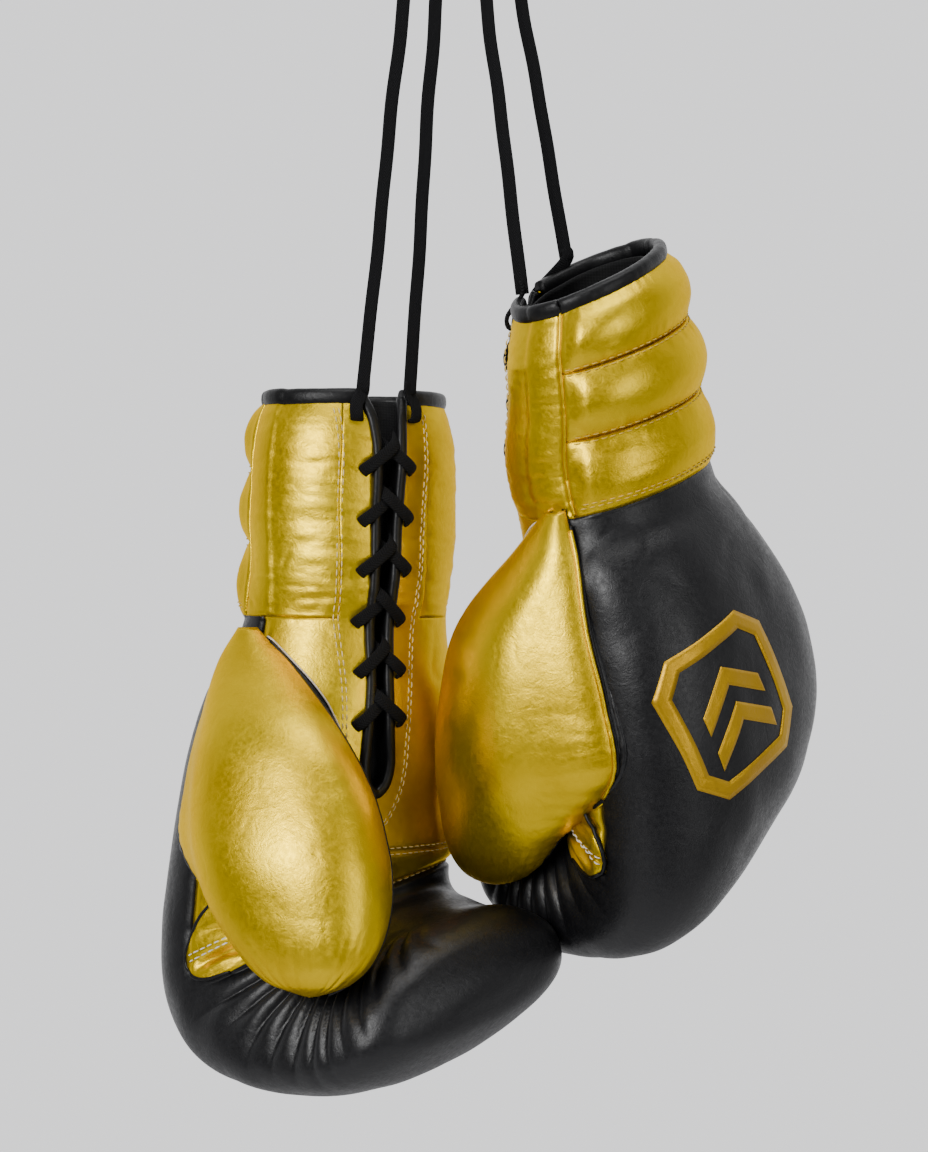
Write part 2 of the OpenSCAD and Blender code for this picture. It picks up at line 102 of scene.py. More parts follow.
def bump(x, centre, width):
    """A smooth hill of height 1."""
    return np.exp(-(((x - centre) / width) ** 2))


NOISE = np.random.default_rng(11).uniform(-1, 1, (32, 32, 32))


def noise(x, y, z):
    """Smooth noise from -1 to 1, one feature per unit."""
    total = 0
    cells = [np.floor(c).astype(int) for c in (x, y, z)]
    parts = [c - np.floor(c) for c in (x, y, z)]
    parts = [p * p * (3 - 2 * p) for p in parts]
    for corner in range(8):
        bits = [(corner >> k) & 1 for k in range(3)]
        weight = 1
        for part, bit in zip(parts, bits):
            weight = weight * (part if bit else 1 - part)
        total = total + weight * NOISE[tuple((c + b) % 32 for c, b in zip(cells, bits))]
    return total


def creases(x, y, z):
    """0 on most of the leather, down to -1 in thin sharp folds."""
    return -np.clip(1 - np.abs(noise(x, y, z)) * 5, 0, 1) ** 1.5


# ---------------------------------------------------------------- one glove
# Position, back y z, palm y z, half width, centre x, roundness, palm taper
BODY = [
    [0.00, -37, 117, 37, 117, 47, 0, 1.0, 0.0],
    [0.04, -41, 106.5, 41, 106.5, 51, 0, 1.0, 0.0],
    [0.10, -43, 91, 43, 91, 54, 0, 1.0, 0.0],
    [0.20, -44, 64.5, 42, 64.5, 55, 0, 1.0, 0.0],
    [0.30, -44, 38, 42, 38, 54, 0, 1.0, 0.01],
    [0.37, -45, 20, 40, 19, 53, 0.5, 0.95, 0.05],
    [0.40, -46, 11, 38, 9, 53, 1, 0.92, 0.09],
    [0.472, -57, -24, 40, -25, 62, 5, 0.86, 0.13],
    [0.55, -66, -65, 37, -66, 71, 9, 0.86, 0.13],
    [0.628, -71, -107, 32, -100, 75, 10, 0.86, 0.13],
    [0.70, -70, -148, 30, -120, 76, 10, 0.86, 0.13],
    [0.766, -52, -182, 32, -128, 75, 9, 0.86, 0.13],
    [0.832, -11, -204, 42, -131, 74, 7, 0.86, 0.13],
    [0.892, 33, -210, 56, -134, 71, 4, 0.86, 0.13],
    [0.946, 72, -202, 78, -133, 65, 2, 0.86, 0.13],
    [0.979, 96, -183, 92, -141, 51, 1, 0.86, 0.13],
    [1.00, 101, -164, 100, -157, 8, 0, 0.86, 0.13],
]
# Position, centre x y z, half length, half thickness, direction, seam x y
THUMB = [
    [0.00, 63, -4, 6, 5, 4, 110, 61, -8],
    [0.10, 67, 5, -12, 19, 12, 111, 68, -15],
    [0.25, 77, 27, -42, 33, 22, 114, 76, -20],
    [0.42, 80, 36, -76, 44, 30, 118, 80, -28],
    [0.58, 82, 42, -107, 47, 34, 120, 84, -30],
    [0.72, 80, 48, -134, 44, 33, 118, 82, -4],
    [0.86, 81, 57, -157, 34, 25, 115, 80, 30],
    [0.95, 82.5, 61, -171, 21, 15, 112, 78, 50],
    [1.00, 82.5, 62, -178, 3, 2, 110, 80, 60],
]
SLANT = 0.27
KNUCKLE_SLANT = 0.5
KNUCKLE_DEPTH = 60
PALM_TAPER = 0.13
ROUND_POWER = 0.86
THUMB_GAP = 3
FIST_SIDE_END = -156
RIM_HEIGHT = 117
# Height of the plain cuff that one whole unit of position along the body would cover
CUFF_RUN = 262.2
ROLL_EDGES = (RIM_HEIGHT, 83, 48, 12)
ROLL_ANGLES = (202, 338)
ROLL_BULGE = 5
WRIST = 0.3975
FIST_TOP = 0.40
FIST_CURL = 0.70
SLOT_END = -77
# Height, centre of the lace opening, half width between the leather edges
SLOT = [
    [-150, 15.5, 0],
    [SLOT_END, 15.5, 0],
    [-74.5, 15.5, 5.2],
    [-70, 15.5, 8],
    [-62, 15.5, 9.4],
    [-45, 15.5, 8],
    [-20, 15, 6.6],
    [20, 13.4, 6.6],
    [60, 12.4, 7.2],
    [95, 11.6, 8],
    [108, 11.2, 9.4],
    [117, 10.8, 12],
]
HOLE_PITCH = 24.5
HOLE_TOP = 106
LACE_ROWS = 6
LACE_WIDTH = 6.5
LACE_THICK = 2.2
LEATHER = 1.2


class Glove:
    """Where a glove hangs: spin turns its frame and place moves it, in millimetres."""

    def __init__(self, side, spin, place, lean, thumb_lean):
        self.side = side
        self.spin = spin
        self.place = np.array(place, float)
        self.across = np.linalg.inv(spin) @ np.array([1.0, 0, 0])
        self.lean = lean
        self.thumb_lean = thumb_lean
        self.mirrored = np.linalg.det(spin) < 0
        self.body = f"{side}_glove"
        self.thumb_body = f"{side}_thumb"

    def world(self, points):
        return (np.asarray(points, float) @ self.spin.T + self.place) * MM

    def node(self, name):
        return f"{self.side}_{name}"


def turn(axis, degrees):
    return np.array(Matrix.Rotation(math.radians(degrees), 3, axis))


# Height, sideways shift, width and droop of the glove body as it hangs, seen from the front
STRAIGHT = [[-400, 0, 1, 0], [400, 0, 1, 0]]
SAGGING = [
    [-400, -15, 0.90, 0],
    [-215, -15, 0.90, 0],
    [-190, -14, 0.91, 0],
    [-165, -12, 0.93, 0],
    [-140, -9, 0.95, 0],
    [-100, -6, 0.97, 0],
    [-50, -8, 0.97, 0],
    [-15, -15, 0.98, 0.03],
    [10, -19, 1.0, 0.06],
    [35, -18, 1.0, 0.06],
    [60, -15, 0.96, 0.07],
    [90, -14, 0.91, 0.12],
    [117, -13, 0.88, 0.18],
    [400, -13, 0.88, 0.18],
]
# Height on the thumb, sideways shift and rise of the thumb
THUMB_SHIFTED = [[-180, 6, 13], [-110, 9, 8], [-40, 4, 3], [0, 0, 0]]
THUMB_RAISED = [[-180, 0, 0], [-110, 0, 0], [-40, -3, 2], [0, -7, 6]]
RIGHT = Glove("right", turn("X", -8) @ turn("Z", -140), (-47, -15, -524), STRAIGHT, THUMB_SHIFTED)
LEFT = Glove(
    "left",
    turn("Y", -9) @ turn("X", 7) @ turn("Z", 49) @ np.diag([-1.0, 1, 1]),
    (96, -37, -450),
    SAGGING,
    THUMB_RAISED,
)


def drop(x, y, z):
    """How far a point sinks for its place across the hand."""
    w = ramp(z, -10, -120)
    back = np.clip(-y / KNUCKLE_DEPTH, 0, 1)
    return SLANT * (1 + KNUCKLE_SLANT * back) * x * w


DROOP_PIVOT = 50


def sag(glove, p):
    """Moves and narrows the glove sideways and lets its cuff droop, the way that it hangs."""
    shift, width, droop = np.moveaxis(smooth(glove.lean, p[..., 2]), -1, 0)
    flat = glove.across * np.array([1, 1, 0])
    flat = flat / np.linalg.norm(flat)
    reach = p @ flat
    out = p + flat * (shift + reach * (width - 1))[..., None]
    out[..., 2] -= droop * (DROOP_PIVOT - reach)
    return out


def body_base(glove, v, a):
    """A point of the plain glove body: v runs from the rim to the end of the fingers, a is degrees round."""
    return sag(glove, plain_body(v, a))


def plain_body(v, a):
    oy, oz, iy, iz, w, cx, e, taper = np.moveaxis(smooth(BODY, v), -1, 0)
    a = np.radians(a)
    c = signed_power(np.cos(a), e)
    d = signed_power(np.sin(a), e)
    x = c * w * (1 - taper * d) + cx
    y = (oy + iy) / 2 + (iy - oy) / 2 * d
    z = (oz + iz) / 2 + (iz - oz) / 2 * d
    return np.stack([x, y, z - drop(x, y, z)], -1)


def roll_relief(v, a):
    """The three padded rolls across the back of the cuff."""
    height = RIM_HEIGHT - v * CUFF_RUN
    inside = (a > ROLL_ANGLES[0]) & (a < ROLL_ANGLES[1])
    from_edge = np.minimum(a - ROLL_ANGLES[0], ROLL_ANGLES[1] - a)
    rise = 0.2 + 0.8 * ramp(from_edge, 2, 15)
    total = np.zeros(np.broadcast(v, a).shape)
    for top, low in zip(ROLL_EDGES[:-1], ROLL_EDGES[1:]):
        q = np.clip((top - height) / (top - low), 0, 1)
        pillow = 1.1 * np.sin(np.pi * q) ** 0.9
        from_seam = np.minimum(q, 1 - q) * (top - low)
        gathers = 0.5 * noise(a / 3.2, from_seam / 14 + top, 0.5 + 0 * v) * bump(from_seam, 3.5, 4)
        total = total + np.where((q > 0) & (q < 1), (ROLL_BULGE * pillow + gathers) * rise, 0)
    return np.where(inside, total, 0)


def line_groove(distance, depth, width):
    return -depth * np.exp(-((distance / width) ** 2))


def pleat_relief(p):
    """Gathers of the finger leather where it is sewn in round the end of the thumb."""
    x, y, z = p[..., 0], p[..., 1], p[..., 2]
    cy, cz = 50, -128
    radius = np.hypot(y - cy, z - cz)
    angle = np.arctan2(z - cz, y - cy)
    wobble = noise(angle * 2.6, radius / 50, x / 60)
    fold = np.abs(np.sin(angle * 17 + 1.6 * wobble)) ** 0.7
    strength = 0.7 + 0.3 * noise(angle * 5.3 + 9, radius / 70, x / 90)
    reach = 90 + 12 * noise(angle * 6.7 + 3, 0.5 + 0 * radius, 0.5 + 0 * radius)
    area = ramp(x, 2, 30) * ramp(radius, 16, 30) * ramp(radius, reach, reach - 42)
    below = ramp(cz - z, -6, 14)
    return 4.6 * (fold - 0.8) * strength * area * below


def body_relief(glove, v, a, p):
    """Everything that stands out of the plain body or sinks into it, in millimetres."""
    x, y, z = p[..., 0], p[..., 1], p[..., 2]
    seed = 0.0 if glove.side == "right" else 17.3
    height = RIM_HEIGHT - v * CUFF_RUN
    on_palm = ramp(a % 360, 2, 8) * ramp(a % 360, 178, 172)
    blend = 0.004 + 0.05 * on_palm
    on_cuff = ramp(v, WRIST + blend, WRIST - blend)
    total = roll_relief(v, a)
    # the cuff leather overlaps the fist leather
    total = total + 1.1 * (1 - on_palm) * ramp(v, WRIST + 0.002, WRIST - 0.002)
    for seam in ROLL_ANGLES:
        total = total + on_cuff * line_groove(a - seam, 1.3, 1.5)
    for edge in ROLL_EDGES[1:3]:
        on_rolls = (a > ROLL_ANGLES[0]) & (a < ROLL_ANGLES[1])
        total = total + np.where(on_rolls, line_groove(height - edge, 0.3, 1.3), 0)
    # cross creases of the cuff, close together on its thumb side
    near_wrist = bump(height, 12, 30)
    strips = creases(a / 30 + seed, height / 6, seed + 0 * v)
    total = total + on_cuff * (0.12 + 0.5 * near_wrist) * strips * (1 - 0.6 * ramp(roll_relief(v, a), 0.5, 3))
    total = total + on_cuff * 0.28 * noise(a / 22, height / 5 + seed, 3.1 + 0 * v)
    on_panel = 1 - ramp(a, 200, 206) * ramp(a, 340, 334)
    total = total + on_cuff * on_panel * 0.16 * noise(a / 9, height / 1.5 + seed, 1.7 + 0 * v)
    total = total + on_cuff * 0.9 * noise(a / 40, height / 26 + seed, 5.7 + 0 * v)
    # fold where the cuff bends over the fist
    total = total - 2.2 * bump(height, 6, 5) * (1 - on_palm * 0.85)
    # the palm hangs slack round the grip bar
    grip = bump(z, -104, 13) * ramp(a % 360, 20, 60) * ramp(a % 360, 172, 130)
    total = total + 4.0 * grip
    # soft swells and long creases of the fist
    on_fist = 1 - on_cuff
    total = total + on_fist * 1.5 * noise(x / 42 + seed, y / 42, z / 48)
    total = total + on_fist * 0.45 * noise(x / 13 + seed, y / 13, z / 15)
    folds = creases(x / 34 + seed, y / 34 + z / 30, z / 40)
    total = total + on_fist * 0.35 * folds * bump(v, 0.44, 0.06)
    for seam in (0, 180):
        distance = (a - seam + 180) % 360 - 180
        total = total + on_fist * line_groove(distance, 1.6, 1.6) * ramp(v, 0.71, 0.70)
    curl = (v - FIST_CURL) * 420
    total = total + on_palm * line_groove(curl, 2.6, 3)
    for palm_seam in (-103, -121):
        total = total + on_fist * on_palm * line_groove(z - palm_seam, 1.0, 1.4) * ramp(v, 0.70, 0.69)
    return (total + on_fist * pleat_relief(p)) * ramp(v, 0.985, 0.93)


def body_skin(glove, v, a, lift=0.0):
    """A point of the finished glove body, lift millimetres above its leather."""
    v, a = np.broadcast_arrays(np.asarray(v, float), np.asarray(a, float))
    p = body_base(glove, v, a)
    along = body_base(glove, np.minimum(v + 0.002, 1), a) - body_base(glove, np.maximum(v - 0.002, 0), a)
    across = body_base(glove, v, a + 0.7) - body_base(glove, v, a - 0.7)
    n = np.cross(across, along)
    n = n / (np.linalg.norm(n, axis=-1, keepdims=True) + 1e-9)
    return p - n * (body_relief(glove, v, a, p) + lift)[..., None]


def across_slot(v, side, offset, from_edge=True):
    """The angle of a point beside the lace opening; side is 1 on the thumb side."""
    angles = np.linspace(130, 35, 191)
    heights, centres, halves = np.array(SLOT).T
    out = []
    for one in np.atleast_1d(v):
        row = plain_body(one, angles)
        height = float(np.interp(80, angles[::-1], row[::-1, 2]))
        half = np.interp(height, heights, halves) if from_edge else 0
        reach = half + offset if half > 0 or offset else 0
        out.append(np.interp(np.interp(height, heights, centres) + reach * side, row[:, 0], angles))
    return np.array(out)


def slot_edge(v, side, extra=0.0):
    """The angle of the leather edge beside the lace opening, extra millimetres outside it."""
    return across_slot(v, side, extra)


def row_at(height):
    """The position v of a height on the palm side."""
    v = np.linspace(0, FIST_CURL, 400)
    z = plain_body(v, 84 + 0 * v)[:, 2]
    return np.interp(-np.asarray(height, float), -z, v)


# ---------------------------------------------------------------- meshes
def grid_faces(rows, cols, ring=False):
    i, j = np.meshgrid(np.arange(rows - 1), np.arange(cols if ring else cols - 1), indexing="ij")
    k = (j + 1) % cols
    corners = [i * cols + j, i * cols + k, (i + 1) * cols + k, (i + 1) * cols + j]
    return np.stack(corners, -1).reshape(-1, 4)


def add_mesh(name, points, faces, uv=None):
    """A smooth-shaded mesh object from points in metres and quads or triangles."""
    mesh = bpy.data.meshes.new(name)
    corners = np.asarray(points, float).reshape(-1, 3).tolist()
    mesh.from_pydata(corners, [], [list(map(int, f)) for f in faces])
    mesh.validate()
    if uv is not None:
        flat = np.asarray(uv, float).reshape(-1, 2)
        layer = mesh.uv_layers.new(name="UVMap")
        index = np.empty(len(mesh.loops), int)
        mesh.loops.foreach_get("vertex_index", index)
        layer.data.foreach_set("uv", flat[index].ravel())
    mesh.polygons.foreach_set("use_smooth", [True] * len(mesh.polygons))
    mesh.update()
    piece = bpy.data.objects.new(name, mesh)
    bpy.context.scene.collection.objects.link(piece)
    return piece


def finish_piece(piece, body, slot, material, *nodes):
    """The material, the body and the CAD nodes that a finished piece goes with."""
    piece.data.materials.clear()
    piece.data.materials.append(material)
    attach(piece, body)
    if nodes:
        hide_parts(*nodes)
    return piece


def thicken(piece, thickness, offset=1.0):
    solid = piece.modifiers.new("thickness", "SOLIDIFY")
    solid.thickness = thickness * MM
    solid.offset = offset
    return piece


def flipped(faces, glove):
    return [list(f)[::-1] for f in faces] if glove.mirrored else faces


def sheet_mesh(name, glove, grid, thickness=LEATHER, ring=False):
    """A piece of leather from a grid of points in the glove's frame, with real thickness."""
    rows, cols = grid.shape[:2]
    piece = add_mesh(name, glove.world(grid), flipped(grid_faces(rows, cols, ring), glove))
    return thicken(piece, thickness)


def joined_sheets(name, glove, parts):
    """Several grids as one piece of leather, joined along the edges that they share."""
    points, faces, base = [], [], 0
    for part in parts:
        rows, cols = part.shape[:2]
        faces.append(grid_faces(rows, cols) + base)
        points.append(part.reshape(-1, 3))
        base += rows * cols
    piece = add_mesh(name, glove.world(np.concatenate(points)), flipped(np.concatenate(faces), glove))
    weld = piece.modifiers.new("weld", "WELD")
    weld.merge_threshold = 0.02 * MM
    return thicken(piece, LEATHER)


def frames(path, up):
    """Unit vectors along a path, across it and out of it; up is the way that its flat side faces."""
    path = np.asarray(path, float)
    along = np.gradient(path, axis=0)
    along /= np.linalg.norm(along, axis=1, keepdims=True) + 1e-12
    up = np.broadcast_to(np.asarray(up, float), path.shape)
    across = np.cross(up, along)
    across /= np.linalg.norm(across, axis=1, keepdims=True) + 1e-12
    out = np.cross(along, across)
    return along, across, out


def tube(path, up, width, thick, sides=14, square=1.0, ring=False):
    """Rings of points round a path, for a lace, a piping or a binding. Returns points, faces and UV."""
    path = np.asarray(path, float)
    _, across, out = frames(path, up)
    t = np.arange(sides) * 2 * np.pi / sides
    c = signed_power(np.cos(t), square)
    s = signed_power(np.sin(t), square)
    width = np.broadcast_to(width, len(path))
    thick = np.broadcast_to(thick, len(path))
    rings = (
        path[:, None]
        + across[:, None] * (width / 2)[:, None, None] * c[None, :, None]
        + out[:, None] * (thick / 2)[:, None, None] * s[None, :, None]
    )
    faces = [list(f) for f in grid_faces(len(path), sides, True)]
    if not ring:
        faces.append(list(range(sides))[::-1])
        faces.append([(len(path) - 1) * sides + k for k in range(sides)])
    length = np.concatenate([[0], np.cumsum(np.linalg.norm(np.diff(path, axis=0), axis=1))])
    u = np.broadcast_to(length[:, None], (len(path), sides))
    v = np.broadcast_to((width[0] / 2 * c)[None], (len(path), sides))
    return rings.reshape(-1, 3), faces, np.stack([u, v], -1).reshape(-1, 2)


def join_parts(parts):
    """Several (points, faces, uv) as one."""
    points, faces, uvs, base = [], [], [], 0
    for p, f, uv in parts:
        points.append(p)
        uvs.append(uv)
        faces += [[int(k) + base for k in face] for face in f]
        base += len(p)
    return np.concatenate(points), faces, np.concatenate(uvs)


def spaced(path, step):
    """The same path with points step apart."""
    path = np.asarray(path, float)
    length = np.concatenate([[0], np.cumsum(np.linalg.norm(np.diff(path, axis=0), axis=1))])
    count = max(2, int(round(length[-1] / step)) + 1)
    t = np.linspace(0, length[-1], count)
    return np.stack([np.interp(t, length, path[:, k]) for k in range(3)], -1)


def tube_piece(glove, name, made, body, slot, material, *nodes, turned=True):
    """A finished piece of a glove from (points, faces, uv) in its frame."""
    points, faces, uv = made
    piece = add_mesh(glove.node(name), glove.world(points), flipped(faces, glove) if turned else faces, uv)
    return finish_piece(piece, body, slot, material, *nodes)


def along_path(path, width):
    """A round piping along a path."""
    return tube(path, np.gradient(path, axis=0)[:, [1, 2, 0]], width, width, 10)


STITCH = 3.4
STITCH_GAP = 1.0
THREAD = 0.27


def stitches(path, normals):
    """A row of thread stitches along a path; each dips into the leather at both ends."""
    length = np.concatenate([[0], np.cumsum(np.linalg.norm(np.diff(path, axis=0), axis=1))])
    pitch = STITCH + STITCH_GAP
    parts = []
    for k in range(int(length[-1] / pitch)):
        t = k * pitch + np.linspace(0, STITCH, 6)
        line = np.stack([np.interp(t, length, path[:, c]) for c in range(3)], -1)
        up = np.stack([np.interp(t, length, normals[:, c]) for c in range(3)], -1)
        arch = np.array([-0.35, 0.1, 0.28, 0.28, 0.1, -0.35])
        swell = THREAD * 2 * np.array([0.5, 0.95, 1.1, 1.1, 0.95, 0.5])
        parts.append(tube(line + up * arch[:, None], up, swell * 1.25, swell, sides=6))
    return parts


# ---------------------------------------------------------------- materials
def new_material(name, **settings):
    """A Principled material with constant settings on its own sockets; returns tree, shader."""
    material = bpy.data.materials.new(name)
    material.use_nodes = True
    tree = material.node_tree
    shader = tree.nodes["Principled BSDF"]
    for socket, value in settings.items():
        shader.inputs[socket.replace("_", " ")].default_value = value
    return material, tree, shader


def node(tree, kind, settings=None, **inputs):
    made = tree.nodes.new(kind)
    for name, value in (settings or {}).items():
        setattr(made, name, value)
    for name, value in inputs.items():
        socket = made.inputs[name.replace("_", " ")]
        if isinstance(value, bpy.types.NodeSocket):
            tree.links.new(value, socket)
        else:
            socket.default_value = value
    return made


def maths(tree, operation, first, second=None):
    """One step of arithmetic on sockets or numbers."""
    made = node(tree, "ShaderNodeMath", {"operation": operation})
    for socket, value in zip(made.inputs, (first, second)):
        if isinstance(value, bpy.types.NodeSocket):
            tree.links.new(value, socket)
        elif value is not None:
            socket.default_value = value
    return made.outputs[0]


def place_of(tree):
    return tree.nodes.new("ShaderNodeTexCoord").outputs["Object"]


def noise_of(tree, where, scale, detail=3.0, rough=0.55, distortion=0.0):
    settings = {"Scale": scale, "Detail": detail, "Roughness": rough, "Distortion": distortion}
    made = node(tree, "ShaderNodeTexNoise", **settings)
    tree.links.new(where, made.inputs["Vector"])
    return made.outputs["Fac"]


def cells_of(tree, where, scale, feature="DISTANCE_TO_EDGE"):
    made = node(tree, "ShaderNodeTexVoronoi", {"feature": feature}, Scale=scale)
    tree.links.new(where, made.inputs["Vector"])
    return made.outputs["Distance"]


def mapped(tree, value, low, high, to_low, to_high):
    made = node(tree, "ShaderNodeMapRange", {"clamp": True})
    tree.links.new(value, made.inputs["Value"])
    for name, number in zip(("From Min", "From Max", "To Min", "To Max"), (low, high, to_low, to_high)):
        made.inputs[name].default_value = number
    return made.outputs["Result"]


def colours(tree, value, *stops):
    made = tree.nodes.new("ShaderNodeValToRGB")
    tree.links.new(value, made.inputs["Fac"])
    ramp_of = made.color_ramp
    for k, (position, colour) in enumerate(stops):
        element = ramp_of.elements[k] if k < 2 else ramp_of.elements.new(position)
        element.position = position
        element.color = (*colour, 1)
    return made.outputs["Color"]


def bumps(tree, shader, *layers):
    """Chains bump layers of (height, strength, distance in millimetres) into the shader."""
    last = None
    for height, strength, distance in layers:
        made = node(tree, "ShaderNodeBump", Strength=strength, Distance=distance * MM)
        tree.links.new(height, made.inputs["Height"])
        if last is not None:
            tree.links.new(last, made.inputs["Normal"])
        last = made.outputs["Normal"]
    tree.links.new(last, shader.inputs["Normal"])


def leather_material(name, dark, light, low_rough, high_rough, **settings):
    """Leather with a fine grain, small wrinkles and cloudy colour and gloss."""
    material, tree, shader = new_material(name, **settings)
    where = place_of(tree)
    cloud = noise_of(tree, where, 22, 5.0)
    fine = noise_of(tree, where, 480, 3.0)
    grain = cells_of(tree, where, 620)
    wrinkle = noise_of(tree, where, 150, 6.0, 0.66, 1.4)
    tree.links.new(colours(tree, cloud, (0.3, dark), (0.72, light)), shader.inputs["Base Color"])
    tree.links.new(mapped(tree, fine, 0.3, 0.7, low_rough, high_rough), shader.inputs["Roughness"])
    bumps(tree, shader, (wrinkle, 0.30, 0.8), (grain, 0.22, 0.22), (fine, 0.14, 0.15))
    return material


def thread_material(name, colour):
    material, tree, shader = new_material(name, Roughness=0.55)
    where = place_of(tree)
    strand = node(tree, "ShaderNodeTexWave", Scale=900.0, Distortion=0.6)
    tree.links.new(where, strand.inputs["Vector"])
    worn = noise_of(tree, where, 300)
    darker = tuple(c * 0.7 for c in colour)
    tree.links.new(colours(tree, worn, (0.3, darker), (0.7, colour)), shader.inputs["Base Color"])
    bumps(tree, shader, (strand.outputs["Fac"], 0.3, 0.12))
    return material


# How steeply the yarns run to the edges of a lace, and their turns in radians per millimetre
YARN_SLOPE = 1.6
YARN_TURNS = 4.4


def braid_material():
    """Flat braided lace: a herringbone of thin yarns, laid out along the lace by its UV in millimetres."""
    material, tree, shader = new_material("lace_braid", Roughness=0.85, Specular_IOR_Level=0.15)
    uv = tree.nodes.new("ShaderNodeTexCoord").outputs["UV"]
    split = node(tree, "ShaderNodeSeparateXYZ")
    tree.links.new(uv, split.inputs["Vector"])
    slope = maths(tree, "MULTIPLY", maths(tree, "ABSOLUTE", split.outputs["Y"]), YARN_SLOPE)
    run = maths(tree, "ADD", split.outputs["X"], slope)
    yarn = maths(tree, "SINE", maths(tree, "MULTIPLY", run, YARN_TURNS))
    height = mapped(tree, yarn, -1, 1, 0, 1)
    fuzz = noise_of(tree, place_of(tree), 1500)
    # The lace colour follows the yarn height: painted shade in the grooves between the yarns, lighter on
    # their ridges.
    tree.links.new(
        colours(tree, height, (0.0, (0.0012, 0.0012, 0.0014)), (1.0, (0.008, 0.008, 0.009))),
        shader.inputs["Base Color"],
    )
    bumps(tree, shader, (height, 0.75, 0.5), (fuzz, 0.25, 0.15))
    return material


def cloth_material(name, dark, light):
    """Woven lining: two crossed waves and a little fluff."""
    material, tree, shader = new_material(name, Roughness=0.9, Specular_IOR_Level=0.2)
    where = place_of(tree)
    warp = node(tree, "ShaderNodeTexWave", {"bands_direction": "X"}, Scale=420.0, Distortion=0.4)
    weft = node(tree, "ShaderNodeTexWave", {"bands_direction": "Z"}, Scale=420.0, Distortion=0.4)
    for wave in (warp, weft):
        tree.links.new(where, wave.inputs["Vector"])
    weave = maths(tree, "MULTIPLY", warp.outputs["Fac"], weft.outputs["Fac"])
    # The cloth colour follows the weave: painted shade where the threads dip, lighter where they cross.
    tree.links.new(colours(tree, weave, (0.0, dark), (0.8, light)), shader.inputs["Base Color"])
    bumps(tree, shader, (weave, 0.5, 0.3), (noise_of(tree, where, 160, 4.0), 0.3, 0.8))
    return material


def raw_edge_material():
    """The cut side of the leather, pale and fibrous."""
    material, tree, shader = new_material("raw_leather_edge", Roughness=0.85)
    where = place_of(tree)
    fibre = noise_of(tree, where, 700, 6.0, 0.7)
    tree.links.new(
        colours(tree, fibre, (0.25, (0.42, 0.33, 0.24)), (0.75, (0.78, 0.70, 0.60))),
        shader.inputs["Base Color"],
    )
    bumps(tree, shader, (fibre, 0.5, 0.3))
    return material


def plastic_material():
    material, tree, shader = new_material("lace_tip_plastic", Roughness=0.3)
    where = place_of(tree)
    wear = noise_of(tree, where, 260, 4.0)
    tree.links.new(
        colours(tree, wear, (0.3, (0.010, 0.010, 0.011)), (0.75, (0.028, 0.028, 0.03))),
        shader.inputs["Base Color"],
    )
    tree.links.new(mapped(tree, wear, 0.3, 0.7, 0.22, 0.42), shader.inputs["Roughness"])
    bumps(tree, shader, (wear, 0.15, 0.2))
    return material


GOLD = leather_material(
    "gold_foil_leather", (0.62, 0.405, 0.002), (0.78, 0.55, 0.006), 0.32, 0.44, Metallic=0.92,
    Specular_IOR_Level=0.3, Specular_Tint=(1.0, 0.78, 0.22, 1),
)
BLACK = leather_material(
    "black_leather", (0.0025, 0.0025, 0.003), (0.006, 0.006, 0.007), 0.34, 0.48, Specular_IOR_Level=0.36,
)
BINDING = leather_material(
    "black_binding_leather", (0.002, 0.002, 0.0022), (0.005, 0.005, 0.0055), 0.36, 0.46,
    Specular_IOR_Level=0.25,
)
FOIL = leather_material(
    "emblem_foil", (0.42, 0.23, 0.004), (0.56, 0.33, 0.008), 0.36, 0.48, Metallic=0.75,
)
PALE_THREAD = thread_material("pale_thread", (0.74, 0.58, 0.22))
WHITE_THREAD = thread_material("white_thread", (0.82, 0.80, 0.74))
GOLD_THREAD = thread_material("gold_thread", (0.62, 0.42, 0.05))
BRAID = braid_material()
LINING = cloth_material("black_lining_cloth", (0.004, 0.004, 0.004), (0.022, 0.022, 0.023))
FOAM = cloth_material("grey_foam", (0.05, 0.05, 0.052), (0.16, 0.16, 0.165))
RAW_EDGE = raw_edge_material()
PLASTIC = plastic_material()

# ---------------------------------------------------------------- laces from the gloves to the knot
HANG = "hang"
KNOT_CENTRE = (0, 0, -45)
# Each strand from just above the rim of its glove to the inside of the knot
STRAND_ENDS = {
    "right_strand_thumb_side": [(-42.1, -40.7, -399.6), (-5, -8, -51)],
    "right_strand_pinky_side": [(-19.5, -28, -401.4), (4, -8, -51)],
    "left_strand_thumb_side": [(35, -46.5, -352), (-2, 8, -51)],
    "left_strand_pinky_side": [(57, -15.5, -337), (7, 8, -51)],
}
STRANDS = {name: np.linspace(low, high, 5) for name, (low, high) in STRAND_ENDS.items()}


def lace_mesh(name, path, up, width=LACE_WIDTH, thick=LACE_THICK):
    """A flat braided lace along a path in world millimetres."""
    points, faces, uv = tube(path, up, width, thick, sides=18, square=0.7)
    return add_mesh(name, points * MM, faces, uv)


def add_strands():
    for name, route in STRANDS.items():
        side = name.split("_")[0]
        path = spaced(route, 3)
        t = np.linspace(0, 1, len(path))
        sway = 0.35 * np.sin(t * 19 + len(name)) + 0.25 * np.sin(t * 43)
        path[:, 0] += sway * np.sin(np.pi * t)
        face = np.stack([0.25 * np.sin(t * 4 + len(name)), -1 + 0 * t, 0 * t], -1)
        piece = lace_mesh(name.replace("strand", "lace"), path, face)
        finish_piece(piece, f"{side}_laces", "lace_braid", BRAID, name)


def arc(centre, radius, start, end, count, axes):
    """Points of an ellipse arc, in degrees, in the plane of two axes."""
    t = np.radians(np.linspace(start, end, count))
    a, b = (np.array(v, float) for v in axes)
    return np.array(centre, float) + np.outer(np.cos(t), a * radius[0]) + np.outer(np.sin(t), b * radius[1])


